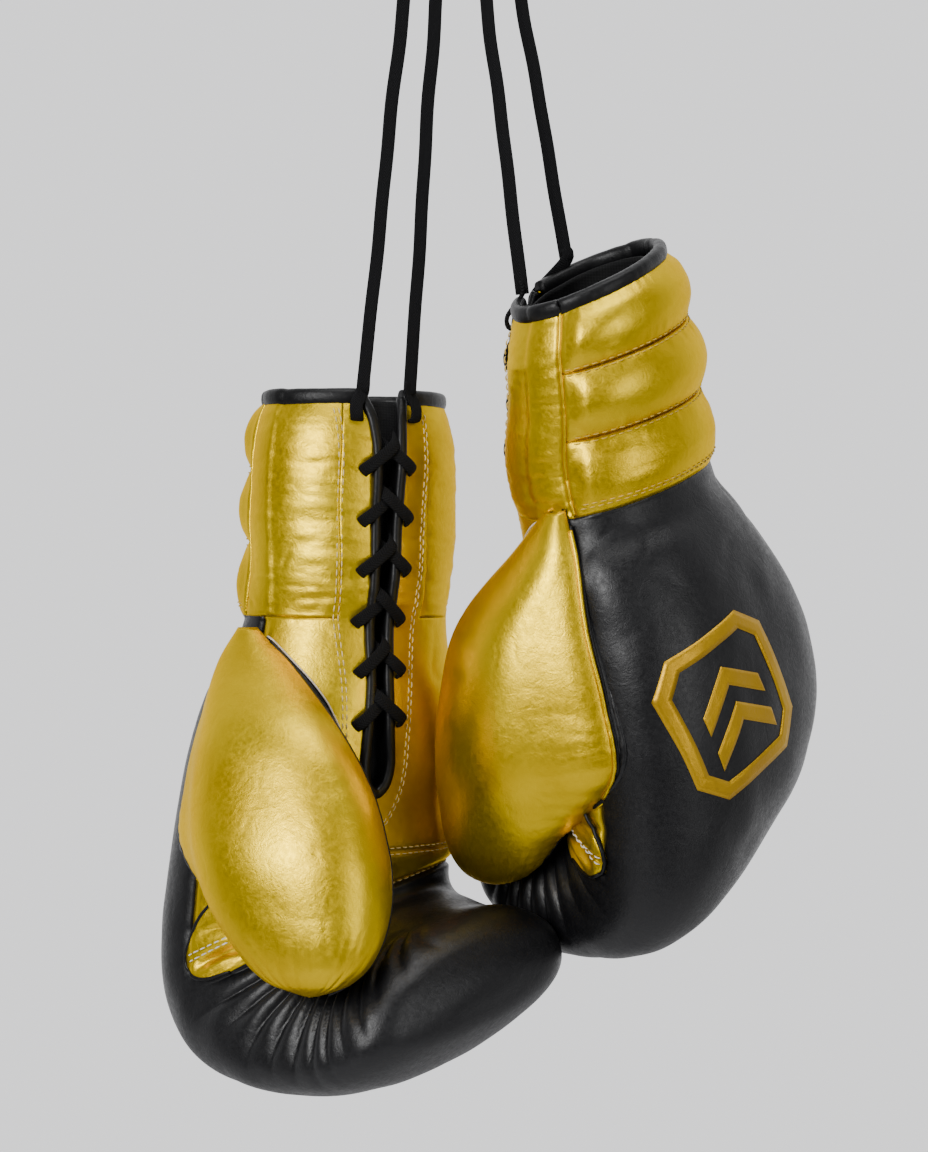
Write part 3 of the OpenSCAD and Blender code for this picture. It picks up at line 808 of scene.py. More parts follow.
def through(points, step=1.5):
    """A smooth path through given points."""
    keys = [[k, *p] for k, p in enumerate(points)]
    return spaced(smooth(keys, np.linspace(0, len(points) - 1, 40 * len(points))), step)


def add_knot():
    """An overhand knot of the four laces: core, wound turns, crossing bands, loop, tails and tips."""
    cx, cy, cz = KNOT_CENTRE
    core = [(cx, cy + y, cz) for y in (-11.5, -10.5, 0, 10.5, 11.5)]
    size = [15, 20, 22, 20, 15]
    wraps = [tube(core, np.tile((0, 0, 1), (5, 1)), size, size, 20)]
    for k, y in enumerate((-10.5, -5.2, 0.2, 5.4, 10.6)):
        radius = 12.6 - 0.11 * y * y / 4
        turn_path = arc((cx, cy + y, cz), (radius, radius), 0, 360, 60, ((1, 0, 0), (0, 0, 1)))
        turn_path[:, 1] += 1.5 * np.sin(np.radians(np.linspace(0, 360, 60)) + k)
        wraps.append(tube(turn_path, turn_path - np.array([cx, cy + y, cz]), 6.2, 3.0, 14, 0.75))
    for tilt in (38, -42):
        rotation = np.array(Matrix.Rotation(math.radians(tilt), 3, "Z"))
        band = arc((0, 0, 0), (14.2, 14.6), 20, 340, 60, ((0, 1, 0), (0, 0, 1))) @ rotation.T
        band = band + np.array(KNOT_CENTRE)
        wraps.append(tube(band, band - np.array(KNOT_CENTRE), 6.4, 2.8, 14, 0.75))
    points, faces, uv = join_parts(wraps)
    knot = add_mesh("lace_knot", points * MM, faces, uv)
    finish_piece(knot, HANG, "lace_braid", BRAID, "hang_knot")
    loop_points = [
        (-5, 0, -31), (-11, 0, -21), (-13, 0, -11), (-8.5, 0, -1.5), (0, 0, 1.5),
        (8.5, 0, -1.5), (13, 0, -11), (11, 0, -21), (5, 0, -31),
    ]
    loop_path = through(loop_points)
    outward = loop_path - np.array([0, 0, -13.0])
    loop = lace_mesh("lace_loop", loop_path, outward, 6.2, 2.6)
    finish_piece(loop, HANG, "lace_braid", BRAID, "hang_loop")
    tails = [
        [(0, -13, -45), (-1, -18.5, -50), (-2, -21, -60), (-3, -22, -75), (-3, -21.5, -91)],
        [(0, 13, -45), (1, 18.5, -50), (2, 21, -60), (3, 22, -72), (3, 21.5, -85)],
    ]
    parts = []
    tips = []
    for k, points in enumerate(tails):
        facing = (0, -1, 0.1) if k == 0 else (0, 1, 0.1)
        path = through(points)
        last = len(path) - 1
        taper = np.interp(np.arange(last + 1), [0, last - 6, last], [LACE_WIDTH, LACE_WIDTH, 3.2])
        parts.append(tube(path, facing, taper, 2.2, 16, 0.7))
        end = np.array(points[-1], float)
        down = np.array([0, 0, -1.0])
        reach = np.array([-1.5, -0.8, 0, 1, 12, 13, 13.6])
        radius = np.array([3.0, 3.5, 3.6, 3.3, 3.2, 2.8, 1.2])
        tips.append(tube(end + reach[:, None] * down, (0, -1, 0), radius, radius, 20))
    points, faces, uv = join_parts(parts)
    tail = add_mesh("lace_tail_ends", points * MM, faces, uv)
    finish_piece(tail, HANG, "lace_braid", BRAID, "lace_tails")
    points, faces, uv = join_parts(tips)
    tip = add_mesh("lace_tip_sleeves", points * MM, faces, uv)
    finish_piece(tip, HANG, "lace_tip", PLASTIC, "lace_tips")
    return [knot, loop, tail, tip]


KNOT_PIECES = add_knot()
add_strands()

# ---------------------------------------------------------------- the leather body of each glove
COLUMN_SECTIONS = ((103, 16), (180, 52), (202, 15), (338, 92), (360, 16), (410.5, 34))
LAST_SECTION = 16
ROW_SECTIONS = ((0.1297, 26), (0.2632, 27), (WRIST, 28), (FIST_CURL, 112), (1.0, 150))


def body_rows():
    rows = [np.array([0.0])]
    for end, count in ROW_SECTIONS:
        rows.append(np.linspace(rows[-1][-1], end, count + 1)[1:])
    return np.concatenate(rows)


def body_angles(v):
    """The angle of every column at every row; the first and last columns follow the lace opening."""
    start = slot_edge(v, -1)
    end = slot_edge(v, 1) + 360
    parts = []
    low = start
    for edge, count in COLUMN_SECTIONS:
        t = np.linspace(0, 1, count, endpoint=False)
        parts.append(low[:, None] * (1 - t) + edge * t)
        low = np.full(len(v), float(edge))
    t = np.linspace(0, 1, LAST_SECTION + 1)
    parts.append(low[:, None] * (1 - t) + end[:, None] * t)
    return np.concatenate(parts, 1)


def section_starts():
    starts = np.cumsum([0] + [count for _, count in COLUMN_SECTIONS])
    return dict(zip(("slot", 103, 180, 202, 338, 360, 410.5), starts))


def row_starts():
    starts = np.cumsum([0] + [count for _, count in ROW_SECTIONS])
    return dict(zip(("rim", "roll_2", "roll_3", "wrist", "curl", "end"), starts))


# CAD nodes under a piece of leather that it stands for as well
UNDER = {
    "cuff_thumb_panel": ("cuff_padding",),
    "thumb_leather": ("thumb_foam",),
    "thumb_inner_leather": ("thumb_lining",),
}


def round_off(grid, v, start=0.99):
    """Closes the end of the finger roll as a low dome."""
    first = int(np.argmax(v >= start))
    ring = grid[first].copy()
    centre, tip = ring.mean(0), grid[-1].mean(0)
    for i in range(first, len(v)):
        left = (1 - v[i]) / (1 - v[first])
        grid[i] = centre + (ring - centre) * left + (tip - centre) * (1 - left**2)


def add_body(glove):
    """Cuff and fist leather: five gold cuff pieces, one gold palm and one black back with the finger roll."""
    v = body_rows()
    a = body_angles(v)
    grid = body_skin(glove, v[:, None], a)
    round_off(grid, v)
    col, row = section_starts(), row_starts()
    cuts = [
        ("wrist_roll_top", "rim", "roll_2", col[202], col[338]),
        ("wrist_roll_middle", "roll_2", "roll_3", col[202], col[338]),
        ("wrist_roll_bottom", "roll_3", "wrist", col[202], col[338]),
        ("cuff_pinky_panel", "rim", "wrist", col[103], col[202]),
        ("cuff_thumb_panel", "rim", "wrist", col[338], col[410.5]),
    ]
    for name, top, low, left, right in cuts:
        part = grid[row[top] : row[low] + 1, left : right + 1]
        piece = sheet_mesh(glove.node(name) + "_shell", glove, part)
        inner = [glove.node(hidden) for hidden in UNDER.get(name, ())]
        finish_piece(piece, glove.body, "gold_leather", GOLD, glove.node(name), *inner)
    palm_parts = [
        grid[: row["wrist"] + 1, : col[103] + 1],
        grid[: row["wrist"] + 1, col[410.5] :],
        grid[row["wrist"] : row["curl"] + 1, : col[180] + 1],
        grid[row["wrist"] : row["curl"] + 1, col[360] :],
    ]
    palm = joined_sheets(glove.node("palm_and_facings_shell"), glove, palm_parts)
    nodes = [glove.node(name) for name in ("palm_leather", "palm_padding", "lace_facings")]
    finish_piece(palm, glove.body, "gold_leather", GOLD, *nodes)
    black_parts = [
        grid[row["wrist"] :, col[180] : col[360] + 1],
        grid[row["curl"] :, : col[180] + 1],
        grid[row["curl"] :, col[360] :],
    ]
    black = joined_sheets(glove.node("back_and_roll_shell"), glove, black_parts)
    nodes = [glove.node(name) for name in ("back_leather", "back_foam", "roll_leather", "fist_foam")]
    finish_piece(black, glove.body, "black_leather", BLACK, *nodes)


for glove in (RIGHT, LEFT):
    add_body(glove)


# ---------------------------------------------------------------- thumb
def clear_of_fist(p, space):
    """Moves points out of the side of the fist, so that the thumb lies beside it."""
    x, y, z = p[..., 0], p[..., 1], p[..., 2]
    level = z + drop(x, y, z)
    s = np.linspace(FIST_TOP, FIST_CURL, 300)
    r = smooth(BODY, s)
    mid = (r[:, 1] + r[:, 3]) / 2
    at = np.interp(-np.minimum(level, 8), -mid, s)
    oy, _, iy, _, w, cx, _, _ = np.moveaxis(smooth(BODY, at), -1, 0)
    cy, h, w = (oy + iy) / 2, (iy - oy) / 2 + space, w + space
    dy = (y - cy) / h
    dx = (x - cx) / (w * (1 - PALM_TAPER * np.clip(dy, -1, 1)))
    n = 2 / ROUND_POWER
    f = (np.abs(dx) ** n + np.abs(dy) ** n) ** (1 / n)
    push = (level >= FIST_SIDE_END) & (f < 1)
    f = np.where(push, np.maximum(f, 1e-3), 1)
    return np.stack([cx + (x - cx) / f, cy + (y - cy) / f, z], -1) * push[..., None] + p * (~push[..., None])


def seam_angle(s):
    cx, cy, _, _, _, direction, sx, sy = np.moveaxis(smooth(THUMB, s), -1, 0)
    return np.degrees(np.arctan2(sy - cy, sx - cx)) - direction


def thumb_base(glove, s, a, inset=0.0):
    """A point of the plain thumb: s runs from the wrist to the tip, a is degrees round."""
    cx, cy, z, p, q, direction, sx, sy = np.moveaxis(smooth(THUMB, s), -1, 0)
    p = np.maximum(p - inset, 0.6)
    q = np.maximum(q - inset, 0.5)
    direction = np.radians(direction)
    a = np.radians(a)
    towards = np.arctan2(sy - cy, sx - cx) - direction
    reach = np.hypot(sx - cx, sy - cy)
    pull = np.maximum(0, reach - inset - 1 / np.sqrt((np.cos(towards) / p) ** 2 + (np.sin(towards) / q) ** 2))
    u = signed_power(np.cos(a), 0.9) * p
    w = signed_power(np.sin(a), 0.9) * q
    g = np.degrees(np.arctan2(w, u) - towards)
    g = (g + 900) % 360 - 180
    f = 1 + pull * np.exp(-((g / 24) ** 2)) / np.hypot(u, w)
    x = cx + f * (u * np.cos(direction) - w * np.sin(direction))
    y = cy + f * (u * np.sin(direction) + w * np.cos(direction))
    keys = glove.thumb_lean
    shift, rise = (np.interp(z, [k[0] for k in keys], [k[c] for k in keys]) for c in (1, 2))
    x = x + shift * glove.across[0]
    y = y + shift * glove.across[1]
    return clear_of_fist(np.stack([x, y, z + rise + 0 * x], -1), THUMB_GAP + inset)


def thumb_relief(glove, s, a, p):
    x, y, z = p[..., 0], p[..., 1], p[..., 2]
    seed = 4.4 if glove.side == "right" else 21.0
    total = 0.5 * noise(x / 44 + seed, y / 44, z / 48) * ramp(s, 0.05, 0.2)
    total = total + 0.08 * noise(x / 9 + seed, y / 9, z / 11)
    seam = (a - seam_angle(s) + 180) % 360 - 180
    near_seam = bump(seam, 0, 26) * ramp(s, 0.35, 0.6)
    gathers = np.abs(np.sin(s * 80 + 1.8 * noise(a / 20, s * 9, seed + 0 * s)))
    total = total + 0.45 * near_seam * (gathers - 0.7)
    for edge in (14, 149):
        distance = (a - edge + 180) % 360 - 180
        total = total + line_groove(distance, 1.2, 2.2) * ramp(s, 0.02, 0.1) * ramp(s, 0.99, 0.95)
    tip = ramp(s, 0.74, 0.9)
    radial = np.abs(np.sin(np.radians(a) * 13 + 2 * noise(a / 30, s * 4, seed + 0 * s)))
    patchy = 0.5 + 0.5 * noise(a / 25, s * 3, seed + 0 * s)
    total = total + 0.9 * tip * (radial - 0.7) * ramp(s, 0.99, 0.95) * patchy
    folds = creases(x / 22 + seed, y / 12, z / 12)
    total = total + 0.12 * folds * ramp(s, 0.1, 0.3) * ramp(s, 1.0, 0.8)
    palm_edge = (a - 14 + 180) % 360 - 180
    beside = ramp(palm_edge, 0, 4) * ramp(palm_edge, 34, 10)
    short = np.abs(np.sin(s * 120 + 3.0 * noise(palm_edge / 14, s * 11, seed + 0 * s))) - 0.7
    return total + 0.6 * short * beside * ramp(s, 0.4, 0.55) * ramp(s, 1.0, 0.92)


def thumb_skin(glove, s, a, lift=0.0):
    s, a = np.broadcast_arrays(np.asarray(s, float), np.asarray(a, float))
    p = thumb_base(glove, s, a)
    along = thumb_base(glove, np.minimum(s + 0.004, 1), a) - thumb_base(glove, np.maximum(s - 0.004, 0), a)
    across = thumb_base(glove, s, a + 1.2) - thumb_base(glove, s, a - 1.2)
    n = np.cross(along, across)
    n = n / (np.linalg.norm(n, axis=-1, keepdims=True) + 1e-9)
    relief = thumb_relief(glove, s, a, p)
    return p + n * (relief + lift)[..., None]


def add_thumb(glove):
    """Gold outer leather, black inner leather and the piping between them."""
    s = np.concatenate([np.linspace(0, 0.86, 104), np.linspace(0.86, 1, 30)[1:]])
    for name, material, start, end, count in (
        ("thumb_leather", GOLD, 149, 374, 150),
        ("thumb_inner_leather", BLACK, 14, 149, 84),
    ):
        a = np.linspace(start, end, count)
        grid = thumb_skin(glove, s[:, None], a[None])
        low = grid[-1].mean(0)
        grid[-1] = low + (grid[-1] - low) * 0.02
        piece = sheet_mesh(glove.node(name) + "_shell", glove, grid)
        slot = "gold_leather" if material is GOLD else "black_leather"
        inner = [glove.node(hidden) for hidden in UNDER[name]]
        finish_piece(piece, glove.thumb_body, slot, material, glove.node(name), *inner)
    run = np.linspace(0.04, 0.985, 140)
    parts = []
    for angle in (14, 149):
        path = thumb_skin(glove, run, angle + 0 * run, 0.5)
        parts.append(along_path(path, 1.9))
    made = join_parts(parts)
    tube_piece(glove, "thumb_edge_piping", made, glove.thumb_body, "black_binding", BINDING, turned=False)
    run = np.linspace(0.05, 0.66, 110)
    path = thumb_skin(glove, run, seam_angle(run), 0.4)
    made = along_path(path, 2.2)
    tube_piece(glove, "thumb_seam_piping", made, glove.thumb_body, "gold_leather", GOLD, turned=False)


for glove in (RIGHT, LEFT):
    add_thumb(glove)


# ---------------------------------------------------------------- bindings, lining and seams
def rim_angles(count=150):
    start = float(slot_edge(0.0, -1)[0])
    end = float(slot_edge(0.0, 1)[0]) + 360
    return np.linspace(start, end, count)


def add_rim_binding(glove):
    """Black leather folded over the rim of the cuff."""
    a = rim_angles()
    path = body_skin(glove, 0 * a + 0.002, a, -1.6) + np.array([0, 0, 1.6])
    wave = 0.25 * noise(a / 9, 0 * a + 2, 0 * a + 5)
    made = tube(path, (0, 0, 1), 6.6 + wave, 8.6 + wave, 20, 0.8)
    hidden = glove.node("rim_binding")
    tube_piece(glove, "rim_binding_fold", made, glove.body, "black_binding", BINDING, hidden)


def slot_line(glove, extra, lift, step=1.6):
    """A line round the lace opening, extra millimetres outside its leather edge."""
    heights = np.concatenate([np.arange(RIM_HEIGHT, -60, -2.5), np.arange(-60, SLOT_END + 1, -1.2)])
    v = row_at(heights)
    thumb_side = body_skin(glove, v, slot_edge(v, 1, extra), lift)
    pinky_side = body_skin(glove, v, slot_edge(v, -1, extra), lift)
    low = row_at(SLOT_END - 0.6 - extra)
    bottom = body_skin(glove, np.array([low]), slot_edge(np.array([low]), 1), lift)
    return spaced(np.concatenate([thumb_side, bottom, pinky_side[::-1]]), step)


def add_slot_binding(glove):
    """Black leather folded over both edges of the lace opening and round its lower end."""
    path = soften(slot_line(glove, -1.4, 0.2), 3)
    made = tube(path, (0, 1, 0.1), 5.4, 4.6, 18, 0.85)
    hidden = glove.node("slot_binding")
    tube_piece(glove, "slot_binding_fold", made, glove.body, "black_binding", BINDING, hidden)


def soften(path, times):
    path = np.array(path, float)
    for _ in range(times):
        path[1:-1] = path[1:-1] * 0.5 + (path[:-2] + path[2:]) * 0.25
    return path


def add_linings(glove):
    """The dark cloth inside the cuff and the hand space."""
    v = np.linspace(0.004, 0.62, 70)
    a = np.linspace(0, 360, 97)[:-1]
    plain = body_base(glove, v[:, None], a[None])
    centre = plain.mean(1, keepdims=True)
    inward = 7.5 + 1.2 * noise(a[None] / 18, v[:, None] * 22, 1.0 + 0 * a[None])
    radial = plain - centre
    radial = radial / np.linalg.norm(radial, axis=-1, keepdims=True)
    grid = plain - radial * inward[..., None]
    piece = sheet_mesh(glove.node("lining_cloth"), glove, grid, 0.8, ring=True)
    finish_piece(
        piece, glove.body, "lining_cloth", LINING, glove.node("cuff_lining"), glove.node("hand_lining"),
    )


def finish_grip_bar(glove):
    """The padded bar that the fingers close on stays as the CAD has it."""
    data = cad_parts[glove.node("grip_bar")].data
    data.materials.clear()
    data.materials.append(FOAM)


def facing_line(glove, offset, lift=0.1):
    """The U-shaped edge of the lace facing, offset millimetres outside its middle line."""
    top, turn_height, low = 112, -58, -93
    down = np.arange(top, turn_height, -3.0)
    half = np.interp(down, [turn_height, -20, 20, 60, 117], [18.5, 19, 21, 22.5, 23]) + offset
    t = np.radians(np.linspace(0, 180, 40))
    heights = np.concatenate([down, turn_height + (low - offset - turn_height) * np.sin(t), down[::-1]])
    reach = np.concatenate([half, half[-1] * np.cos(t), -half[::-1]])
    v = row_at(heights)
    angles = np.linspace(150, 20, 261)
    a = []
    for one, height, out in zip(v, heights, reach):
        row = plain_body(one, angles)
        centre = np.interp(height, [k[0] for k in SLOT], [k[1] for k in SLOT])
        a.append(np.interp(centre + out, row[:, 0], angles))
    a = np.array(a)
    return stitched(glove, v, a, lift)


def stitched(glove, v, a, lift=0.1):
    """A line on the leather and the way out of the leather along it."""
    path = body_skin(glove, v, a, lift)
    above = body_skin(glove, v, a, lift + 1.0)
    return path, above - path


def add_stitch_piece(glove, name, lines, thread, body=None):
    parts = []
    for path, normals in lines:
        parts += stitches(path, normals)
    tube_piece(glove, name, join_parts(parts), body or glove.body, "gold_leather", thread)


def add_seams(glove):
    """Thread along the facing, the rolls, the wrist and the palm, and piping beside the rolls."""
    add_stitch_piece(glove, "facing_stitches", [facing_line(glove, d) for d in (-0.95, 0.95)], PALE_THREAD)
    a = np.linspace(ROLL_ANGLES[0] + 1.5, ROLL_ANGLES[1] - 1.5, 120)
    lines = []
    for edge in ROLL_EDGES[1:3]:
        for shift in (-1.5, 1.5):
            lines.append(stitched(glove, (RIM_HEIGHT - edge + shift) / CUFF_RUN + 0 * a, a))
    for shift in (-4.4, -2.6):
        lines.append(stitched(glove, WRIST + shift / CUFF_RUN + 0 * a, a))
    add_stitch_piece(glove, "roll_stitches", lines, GOLD_THREAD)
    a = np.linspace(28, 168, 90)
    lines = []
    for height in (-101.5, -104.5, -121):
        v = np.array([palm_row(height, angle) for angle in a])
        lines.append(stitched(glove, v, a))
    add_stitch_piece(glove, "palm_stitches", lines, PALE_THREAD)
    parts = []
    run = np.linspace(0.006, WRIST - 0.003, 110)
    for seam in ROLL_ANGLES:
        path = body_skin(glove, run, seam + 0 * run, 0.9)
        parts.append(along_path(path, 1.8))
    tube_piece(glove, "cuff_piping", join_parts(parts), glove.body, "gold_leather", GOLD, turned=False)


def palm_row(height, angle):
    v = np.linspace(WRIST, FIST_CURL, 160)
    z = plain_body(v, angle + 0 * v)[:, 2]
    return float(np.interp(-height, -z, v))


HOLE_REACH = 6.0


def slot_reach(height):
    heights, _, halves = np.array(SLOT).T
    return float(np.interp(height, heights, halves))


def lace_hole(k, side):
    """The row and angle of a lace hole; side is 1 on the thumb side."""
    v = float(row_at(HOLE_TOP - k * HOLE_PITCH))
    return v, float(slot_edge(v, side, HOLE_REACH)[0])


# Along a crossing lace: sideways place from the middle, rise above its hole and lift, in millimetres
LACE_OVER = [
    [-6.5, 17.5, -4.5], [-5, 16, -1.5], [-1.5, 12.5, 2.6], [3.5, 8, 3.6], [8.5, 4, 3.6], [12.5, 0.8, 2.0],
    [14, -1, -2.5],
]
LACE_UNDER = [
    [-5.5, 15, -5.0], [-3.5, 13.5, -3.0], [0, 10.5, -0.2], [4.5, 7, 2.4], [8.5, 3.6, 3.2], [12.5, 0.6, 2.0],
    [14, -1, -2.5],
]


def lace_run(glove, k, side, keys):
    """One lace that comes out of the opening, crosses over its edge and goes down into a hole."""
    height = HOLE_TOP - k * HOLE_PITCH
    keys = np.array(keys, float)
    table = np.column_stack([np.arange(len(keys)), keys])
    across, rise, lift = smooth(table, np.linspace(0, len(keys) - 1, 36)).T
    scale = (slot_reach(height) + HOLE_REACH) / keys[-1, 0]
    v = row_at(height + rise)
    a = np.array([float(across_slot(one, side, x * scale, False)[0]) for one, x in zip(v, across)])
    path = body_skin_flat(glove, v, a, lift)
    up = body_skin_flat(glove, v, a, lift + 1.0) - path
    return soften(path, 2), up


def body_skin_flat(glove, v, a, lift):
    """As body_skin, but over the lace opening, where there is no leather to follow."""
    p = body_base(glove, v, a)
    centre = body_base(glove, v, a + 180)
    n = p - centre
    n[..., 2] = 0
    n = n / np.linalg.norm(n, axis=-1, keepdims=True)
    return p + n * np.asarray(lift)[..., None]


def add_lacing(glove):
    """The criss-cross laces and the two ends that rise to the strands."""
    parts = []
    for k in range(1, LACE_ROWS + 1):
        top_side = 1 if k % 2 else -1
        for side, keys in ((top_side, LACE_OVER), (-top_side, LACE_UNDER)):
            path, up = lace_run(glove, k, side, keys)
            parts.append(tube(path, up, LACE_WIDTH - 0.3, LACE_THICK, 16, 0.7))
    inverse = np.linalg.inv(glove.spin)
    for side, name in ((1, "thumb"), (-1, "pinky")):
        strand = STRANDS[f"{glove.side}_strand_{name}_side"]
        low = inverse @ (np.array(strand[0]) - glove.place)
        ahead = inverse @ (np.array(strand[1]) - glove.place)
        ahead = low + (ahead - low) / np.linalg.norm(ahead - low) * 6
        v, a = lace_hole(0, side)
        hole = body_skin_flat(glove, np.array([v]), np.array([a]), [-2.0])[0]
        out = body_skin_flat(glove, np.array([v * 0.86]), np.array([a]), [2.2])[0]
        over = body_skin_flat(glove, np.array([0.012]), np.array([a]), [4.2])[0]
        path = through([hole, out, over, low, ahead], 1.5)
        radial = path * np.array([1, 1, 0])
        parts.append(tube(path, radial, LACE_WIDTH, LACE_THICK, 16, 0.7))
    made = join_parts(parts)
    tube_piece(glove, "criss_cross_laces", made, glove.body, "lace_braid", BRAID, glove.node("lacing"))


def beside_thumb(glove, s):
    """Positions and angles on the fist that lie beside the palm edge of the thumb."""
    v = np.linspace(WRIST, 0.70, 140)
    a = np.linspace(0, 80, 120)
    net = body_skin(glove, v[:, None], a[None]).reshape(-1, 3)
    edge = thumb_skin(glove, s, 14 + 0 * s)
    nearest = [int(np.argmin(((net - p) ** 2).sum(1))) for p in edge]
    rows, cols = np.unravel_index(nearest, (len(v), len(a)))
    return soften(np.stack([v[rows], a[cols]], -1), 8)


def add_gusset(glove):
    """The dark gusset between thumb and palm, with the pale cut edge of the palm leather beside it."""
    s = np.linspace(0.02, 0.58, 70)
    v, near = beside_thumb(glove, s).T
    along = np.linspace(0, 1, len(s))
    end = near + 7.5 * np.sin(np.pi * along) ** 0.6 * (1 - 0.45 * along)
    t = np.linspace(0, 1, 14)
    a = (near - 16)[:, None] * (1 - t) + end[:, None] * t
    grid = body_skin(glove, v[:, None], a, 1.5)
    piece = sheet_mesh(glove.node("thumb_gusset_shell"), glove, grid, 0.9)
    finish_piece(piece, glove.body, "black_leather", BLACK, glove.node("thumb_gusset"))
    path, up = stitched(glove, v, end + 0.3, 1.3)
    made = tube(path, up, 1.0, 2.6, 8, 0.7)
    tube_piece(glove, "palm_cut_edge", made, glove.body, "gold_leather", RAW_EDGE)


# Position along the fist and angle of the strap's outer edge
STRAP_EDGE = [[0.628, 14], [0.642, 6], [0.660, 1], [0.684, -1], [0.708, 2], [0.726, 9], [0.738, 20]]
STRAP_LIFT = 2.6


def add_strap(glove):
    """The short strap that holds the thumb to the fist, with a binding and two rows of stitches."""
    v = np.linspace(STRAP_EDGE[0][0], STRAP_EDGE[-1][0], 60)
    edge = smooth(STRAP_EDGE, v)[:, 0]
    t = np.linspace(0, 1, 26)
    a = edge[:, None] * (1 - t) + 34 * t
    lift = STRAP_LIFT + 0.5 * noise(v[:, None] * 160, a / 16, 0.5 + 0 * a) * ramp(t, 0, 0.2)
    grid = body_skin(glove, v[:, None], a, lift)
    piece = sheet_mesh(glove.node("thumb_strap_band"), glove, grid, 1.8)
    finish_piece(piece, glove.thumb_body, "gold_leather", GOLD, glove.node("thumb_strap"))
    path = body_skin(glove, v, edge, STRAP_LIFT - 0.6)
    up = body_skin(glove, v, edge, STRAP_LIFT + 0.4) - path
    made = tube(path, up, 2.0, 2.4, 10)
    tube_piece(glove, "thumb_strap_piping", made, glove.thumb_body, "black_binding", BINDING)
    lines = []
    for row in (0.680, 0.688):
        reach = np.linspace(float(smooth(STRAP_EDGE, np.array([row]))[0, 0]) + 1.5, 30, 30)
        line = body_skin(glove, row + 0 * reach, reach, STRAP_LIFT + 0.3)
        above = body_skin(glove, row + 0 * reach, reach, STRAP_LIFT + 1.3)
        lines.append((line, above - line))
    add_stitch_piece(glove, "thumb_strap_stitches", lines, WHITE_THREAD, glove.thumb_body)


for glove in (RIGHT, LEFT):
    add_rim_binding(glove)
    add_slot_binding(glove)
    add_linings(glove)
    finish_grip_bar(glove)
    add_seams(glove)
    add_lacing(glove)
    add_gusset(glove)
    add_strap(glove)


# ---------------------------------------------------------------- emblem
EMBLEM_V = 0.583
EMBLEM_ANGLE = 281
EMBLEM_TURN = -13


def outline(points, step):
    """The closed outline with points step apart."""
    closed = np.array(list(points) + [points[0]], float)
    parts = []
    for a, b in zip(closed[:-1], closed[1:]):
        n = max(1, int(round(np.linalg.norm(b - a) / step)))
        parts.append(a + (b - a) * np.linspace(0, 1, n, endpoint=False)[:, None])
    return np.concatenate(parts)


def band(points, width, step=1.6, rows=3):
    """A frame of even width inside a convex outline, as a grid of points and faces."""
    points = np.array(points, float)
    centre = points.mean(0)
    outer = outline(points, step)
    edges = [(a, b) for a, b in zip(points, np.roll(points, -1, 0))]
    normals = []
    for a, b in edges:
        d = (b - a) / np.linalg.norm(b - a)
        n = np.array([-d[1], d[0]])
        normals.append(n if n @ (centre - a) > 0 else -n)
    count = len(points)
    inner_corners = []
    for k in range(count):
        a, n1, n0 = points[k], normals[k], normals[k - 1]
        inner_corners.append(a + (n0 + n1) / (1 + n0 @ n1) * width)
    inner_corners = np.array(inner_corners)
    parts = []
    for k in range(count):
        a, b = points[k], points[(k + 1) % count]
        c, d = inner_corners[k], inner_corners[(k + 1) % count]
        n = max(1, int(round(np.linalg.norm(b - a) / step)))
        parts.append(c + (d - c) * np.linspace(0, 1, n, endpoint=False)[:, None])
    inner = np.concatenate(parts)
    t = np.linspace(0, 1, rows + 1)[:, None, None]
    grid = outer[None] * (1 - t) + inner[None] * t
    return grid.reshape(-1, 2), grid_faces(rows + 1, len(outer), True)


def chevron(top, width, height, thick, rows=5, cols=26):
    """An arrow-shaped stripe that points up, as a grid of points and faces."""
    x = np.linspace(-width / 2, width / 2, cols * 2 + 1)
    y = top - np.abs(x) / (width / 2) * height
    t = np.linspace(0, 1, rows + 1)[:, None]
    grid = np.stack([np.broadcast_to(x, (rows + 1, len(x))), y[None] - t * thick], -1)
    return grid.reshape(-1, 2), grid_faces(rows + 1, len(x))


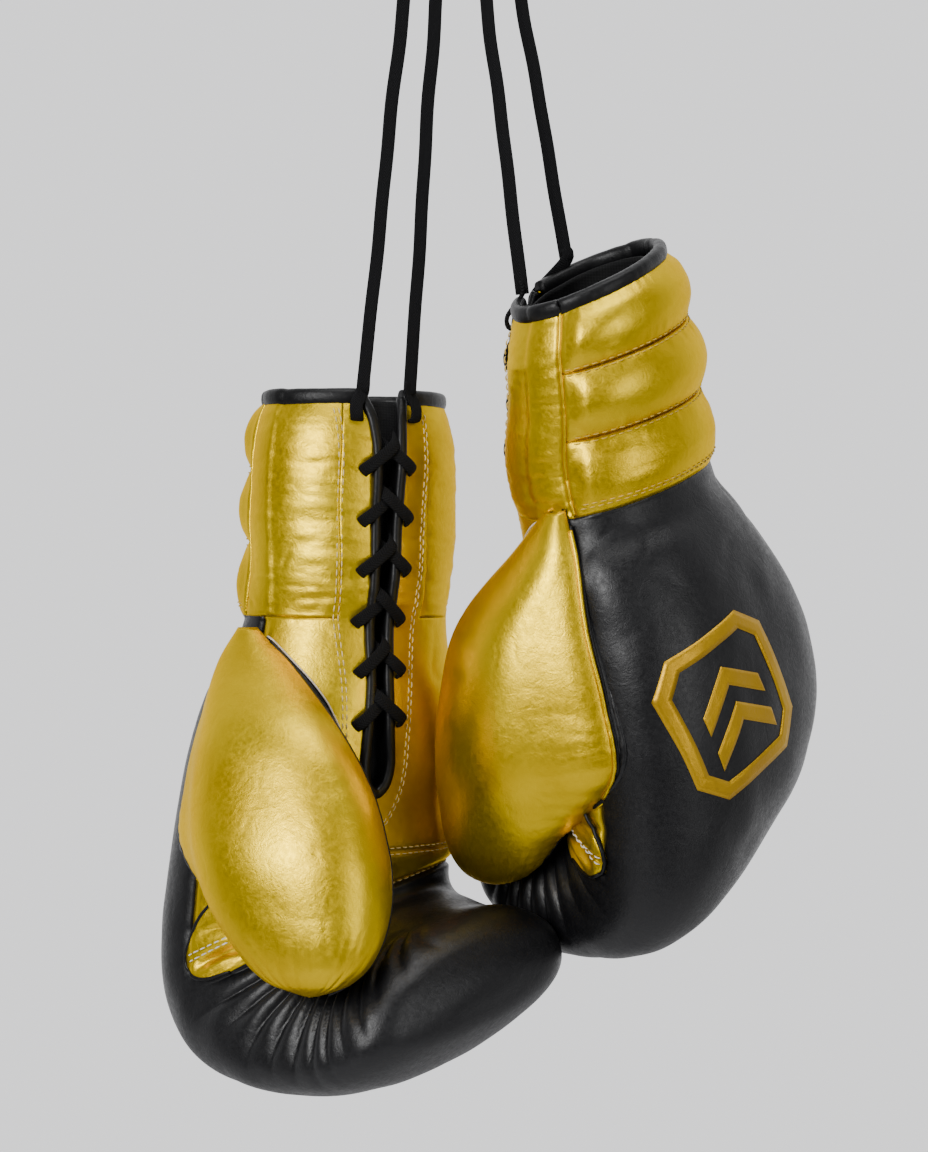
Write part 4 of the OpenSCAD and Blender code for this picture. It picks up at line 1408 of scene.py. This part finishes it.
def add_emblem(glove):
    """A plain eight-cornered frame with two chevrons, laid on the leather of the back."""
    w, h, c = 38, 38, 14
    corners = [
        (-w, -h + c), (-w + c, -h), (w - c, -h), (w, -h + c),
        (w, h - c), (w - c, h), (-w + c, h), (-w, h - c),
    ]
    parts = [band(corners, 8), chevron(21, 42, 16, 10), chevron(2, 42, 16, 10)]
    flat, faces, base = [], [], 0
    for points, f in parts:
        flat.append(points)
        faces += [[int(k) + base for k in face] for face in f]
        base += len(points)
    flat = np.concatenate(flat)
    at = body_skin(glove, np.array([EMBLEM_V]), np.array([EMBLEM_ANGLE]))[0]
    above = body_skin(glove, np.array([EMBLEM_V]), np.array([EMBLEM_ANGLE]), 1.0)[0]
    out = above - at
    up = np.array([0, 0, 1.0]) - out * out[2]
    up /= np.linalg.norm(up)
    side = np.cross(up, out)
    tilt = math.radians(EMBLEM_TURN)
    side, up = side * math.cos(tilt) + up * math.sin(tilt), up * math.cos(tilt) - side * math.sin(tilt)
    v = np.linspace(0.42, 0.78, 150)
    a = np.linspace(185, 355, 180)
    skin = body_skin(glove, v[:, None], a[None])
    quads = grid_faces(150, 180)
    corners = [tuple(p) for p in skin.reshape(-1, 3)]
    tree = BVHTree.FromPolygons(corners, [tuple(map(int, q)) for q in quads])
    laid = []
    for x, y in flat:
        origin = at + side * x + up * y + out * 40
        hit, normal, _, _ = tree.ray_cast(Vector(origin), Vector(-out))
        if hit is None:
            hit, normal, _, _ = tree.find_nearest(Vector(origin))
        facing = np.array(normal)
        facing = facing if facing @ out > 0 else -facing
        laid.append(np.array(hit) + facing * 0.18)
    piece = add_mesh(glove.node("back_emblem"), glove.world(laid), faces)
    thicken(piece, 0.25, 0)
    finish_piece(piece, glove.body, "gold_leather", FOIL)


for glove in (RIGHT, LEFT):
    add_emblem(glove)


# ---------------------------------------------------------------- floor and light
FLOOR_HEIGHT = -1.25


def add_floor():
    """A plain pale floor well below the gloves."""
    t = np.linspace(0, 2 * np.pi, 65)[:-1]
    radii = (0.3, 0.7, 1.1, 1.3)
    points = [(0, 0, FLOOR_HEIGHT)]
    for r in radii:
        points += [(r * math.cos(x), r * math.sin(x), FLOOR_HEIGHT) for x in t]
    faces = [[0, 1 + k, 1 + (k + 1) % 64] for k in range(64)]
    for ring in range(len(radii) - 1):
        base = 1 + ring * 64
        faces += [[base + k, base + 64 + k, base + 64 + (k + 1) % 64, base + (k + 1) % 64] for k in range(64)]
    floor = add_mesh("floor", points, faces)
    material, tree, shader = new_material("floor_paint", Roughness=0.85)
    where = place_of(tree)
    tree.links.new(
        colours(tree, noise_of(tree, where, 3.0), (0.3, (0.60, 0.60, 0.61)), (0.7, (0.63, 0.63, 0.64))),
        shader.inputs["Base Color"],
    )
    floor.data.materials.append(material)


def area_light(name, place, target, size, power, colour=(1, 1, 1)):
    data = bpy.data.lights.new(name, "AREA")
    data.shape = "RECTANGLE"
    data.size, data.size_y = size
    data.energy = power
    data.color = colour
    light = bpy.data.objects.new(name, data)
    bpy.context.scene.collection.objects.link(light)
    light.location = place
    light.rotation_euler = (Vector(target) - Vector(place)).to_track_quat("-Z", "Y").to_euler()


def add_light():
    world = bpy.data.worlds.new("studio")
    bpy.context.scene.world = world
    world.use_nodes = True
    tree = world.node_tree
    background = tree.nodes["Background"]
    background.inputs["Color"].default_value = (0.985, 0.985, 1.0, 1)
    split = tree.nodes.new("ShaderNodeSeparateXYZ")
    tree.links.new(tree.nodes.new("ShaderNodeTexCoord").outputs["Generated"], split.inputs["Vector"])
    brightness = mapped(tree, split.outputs["Y"], -0.2, 0.75, 0.13, 1.32)
    tree.links.new(brightness, background.inputs["Strength"])
    middle = (0.02, 0, -0.55)
    area_light("key", (-1.0, -2.0, 0.35), middle, (1.1, 1.2), 64)
    area_light("fill", (1.7, -1.5, -0.2), middle, (0.7, 1.5), 14)
    area_light("top", (0.2, -0.4, 1.2), middle, (1.4, 1.0), 20)


add_floor()
add_light()
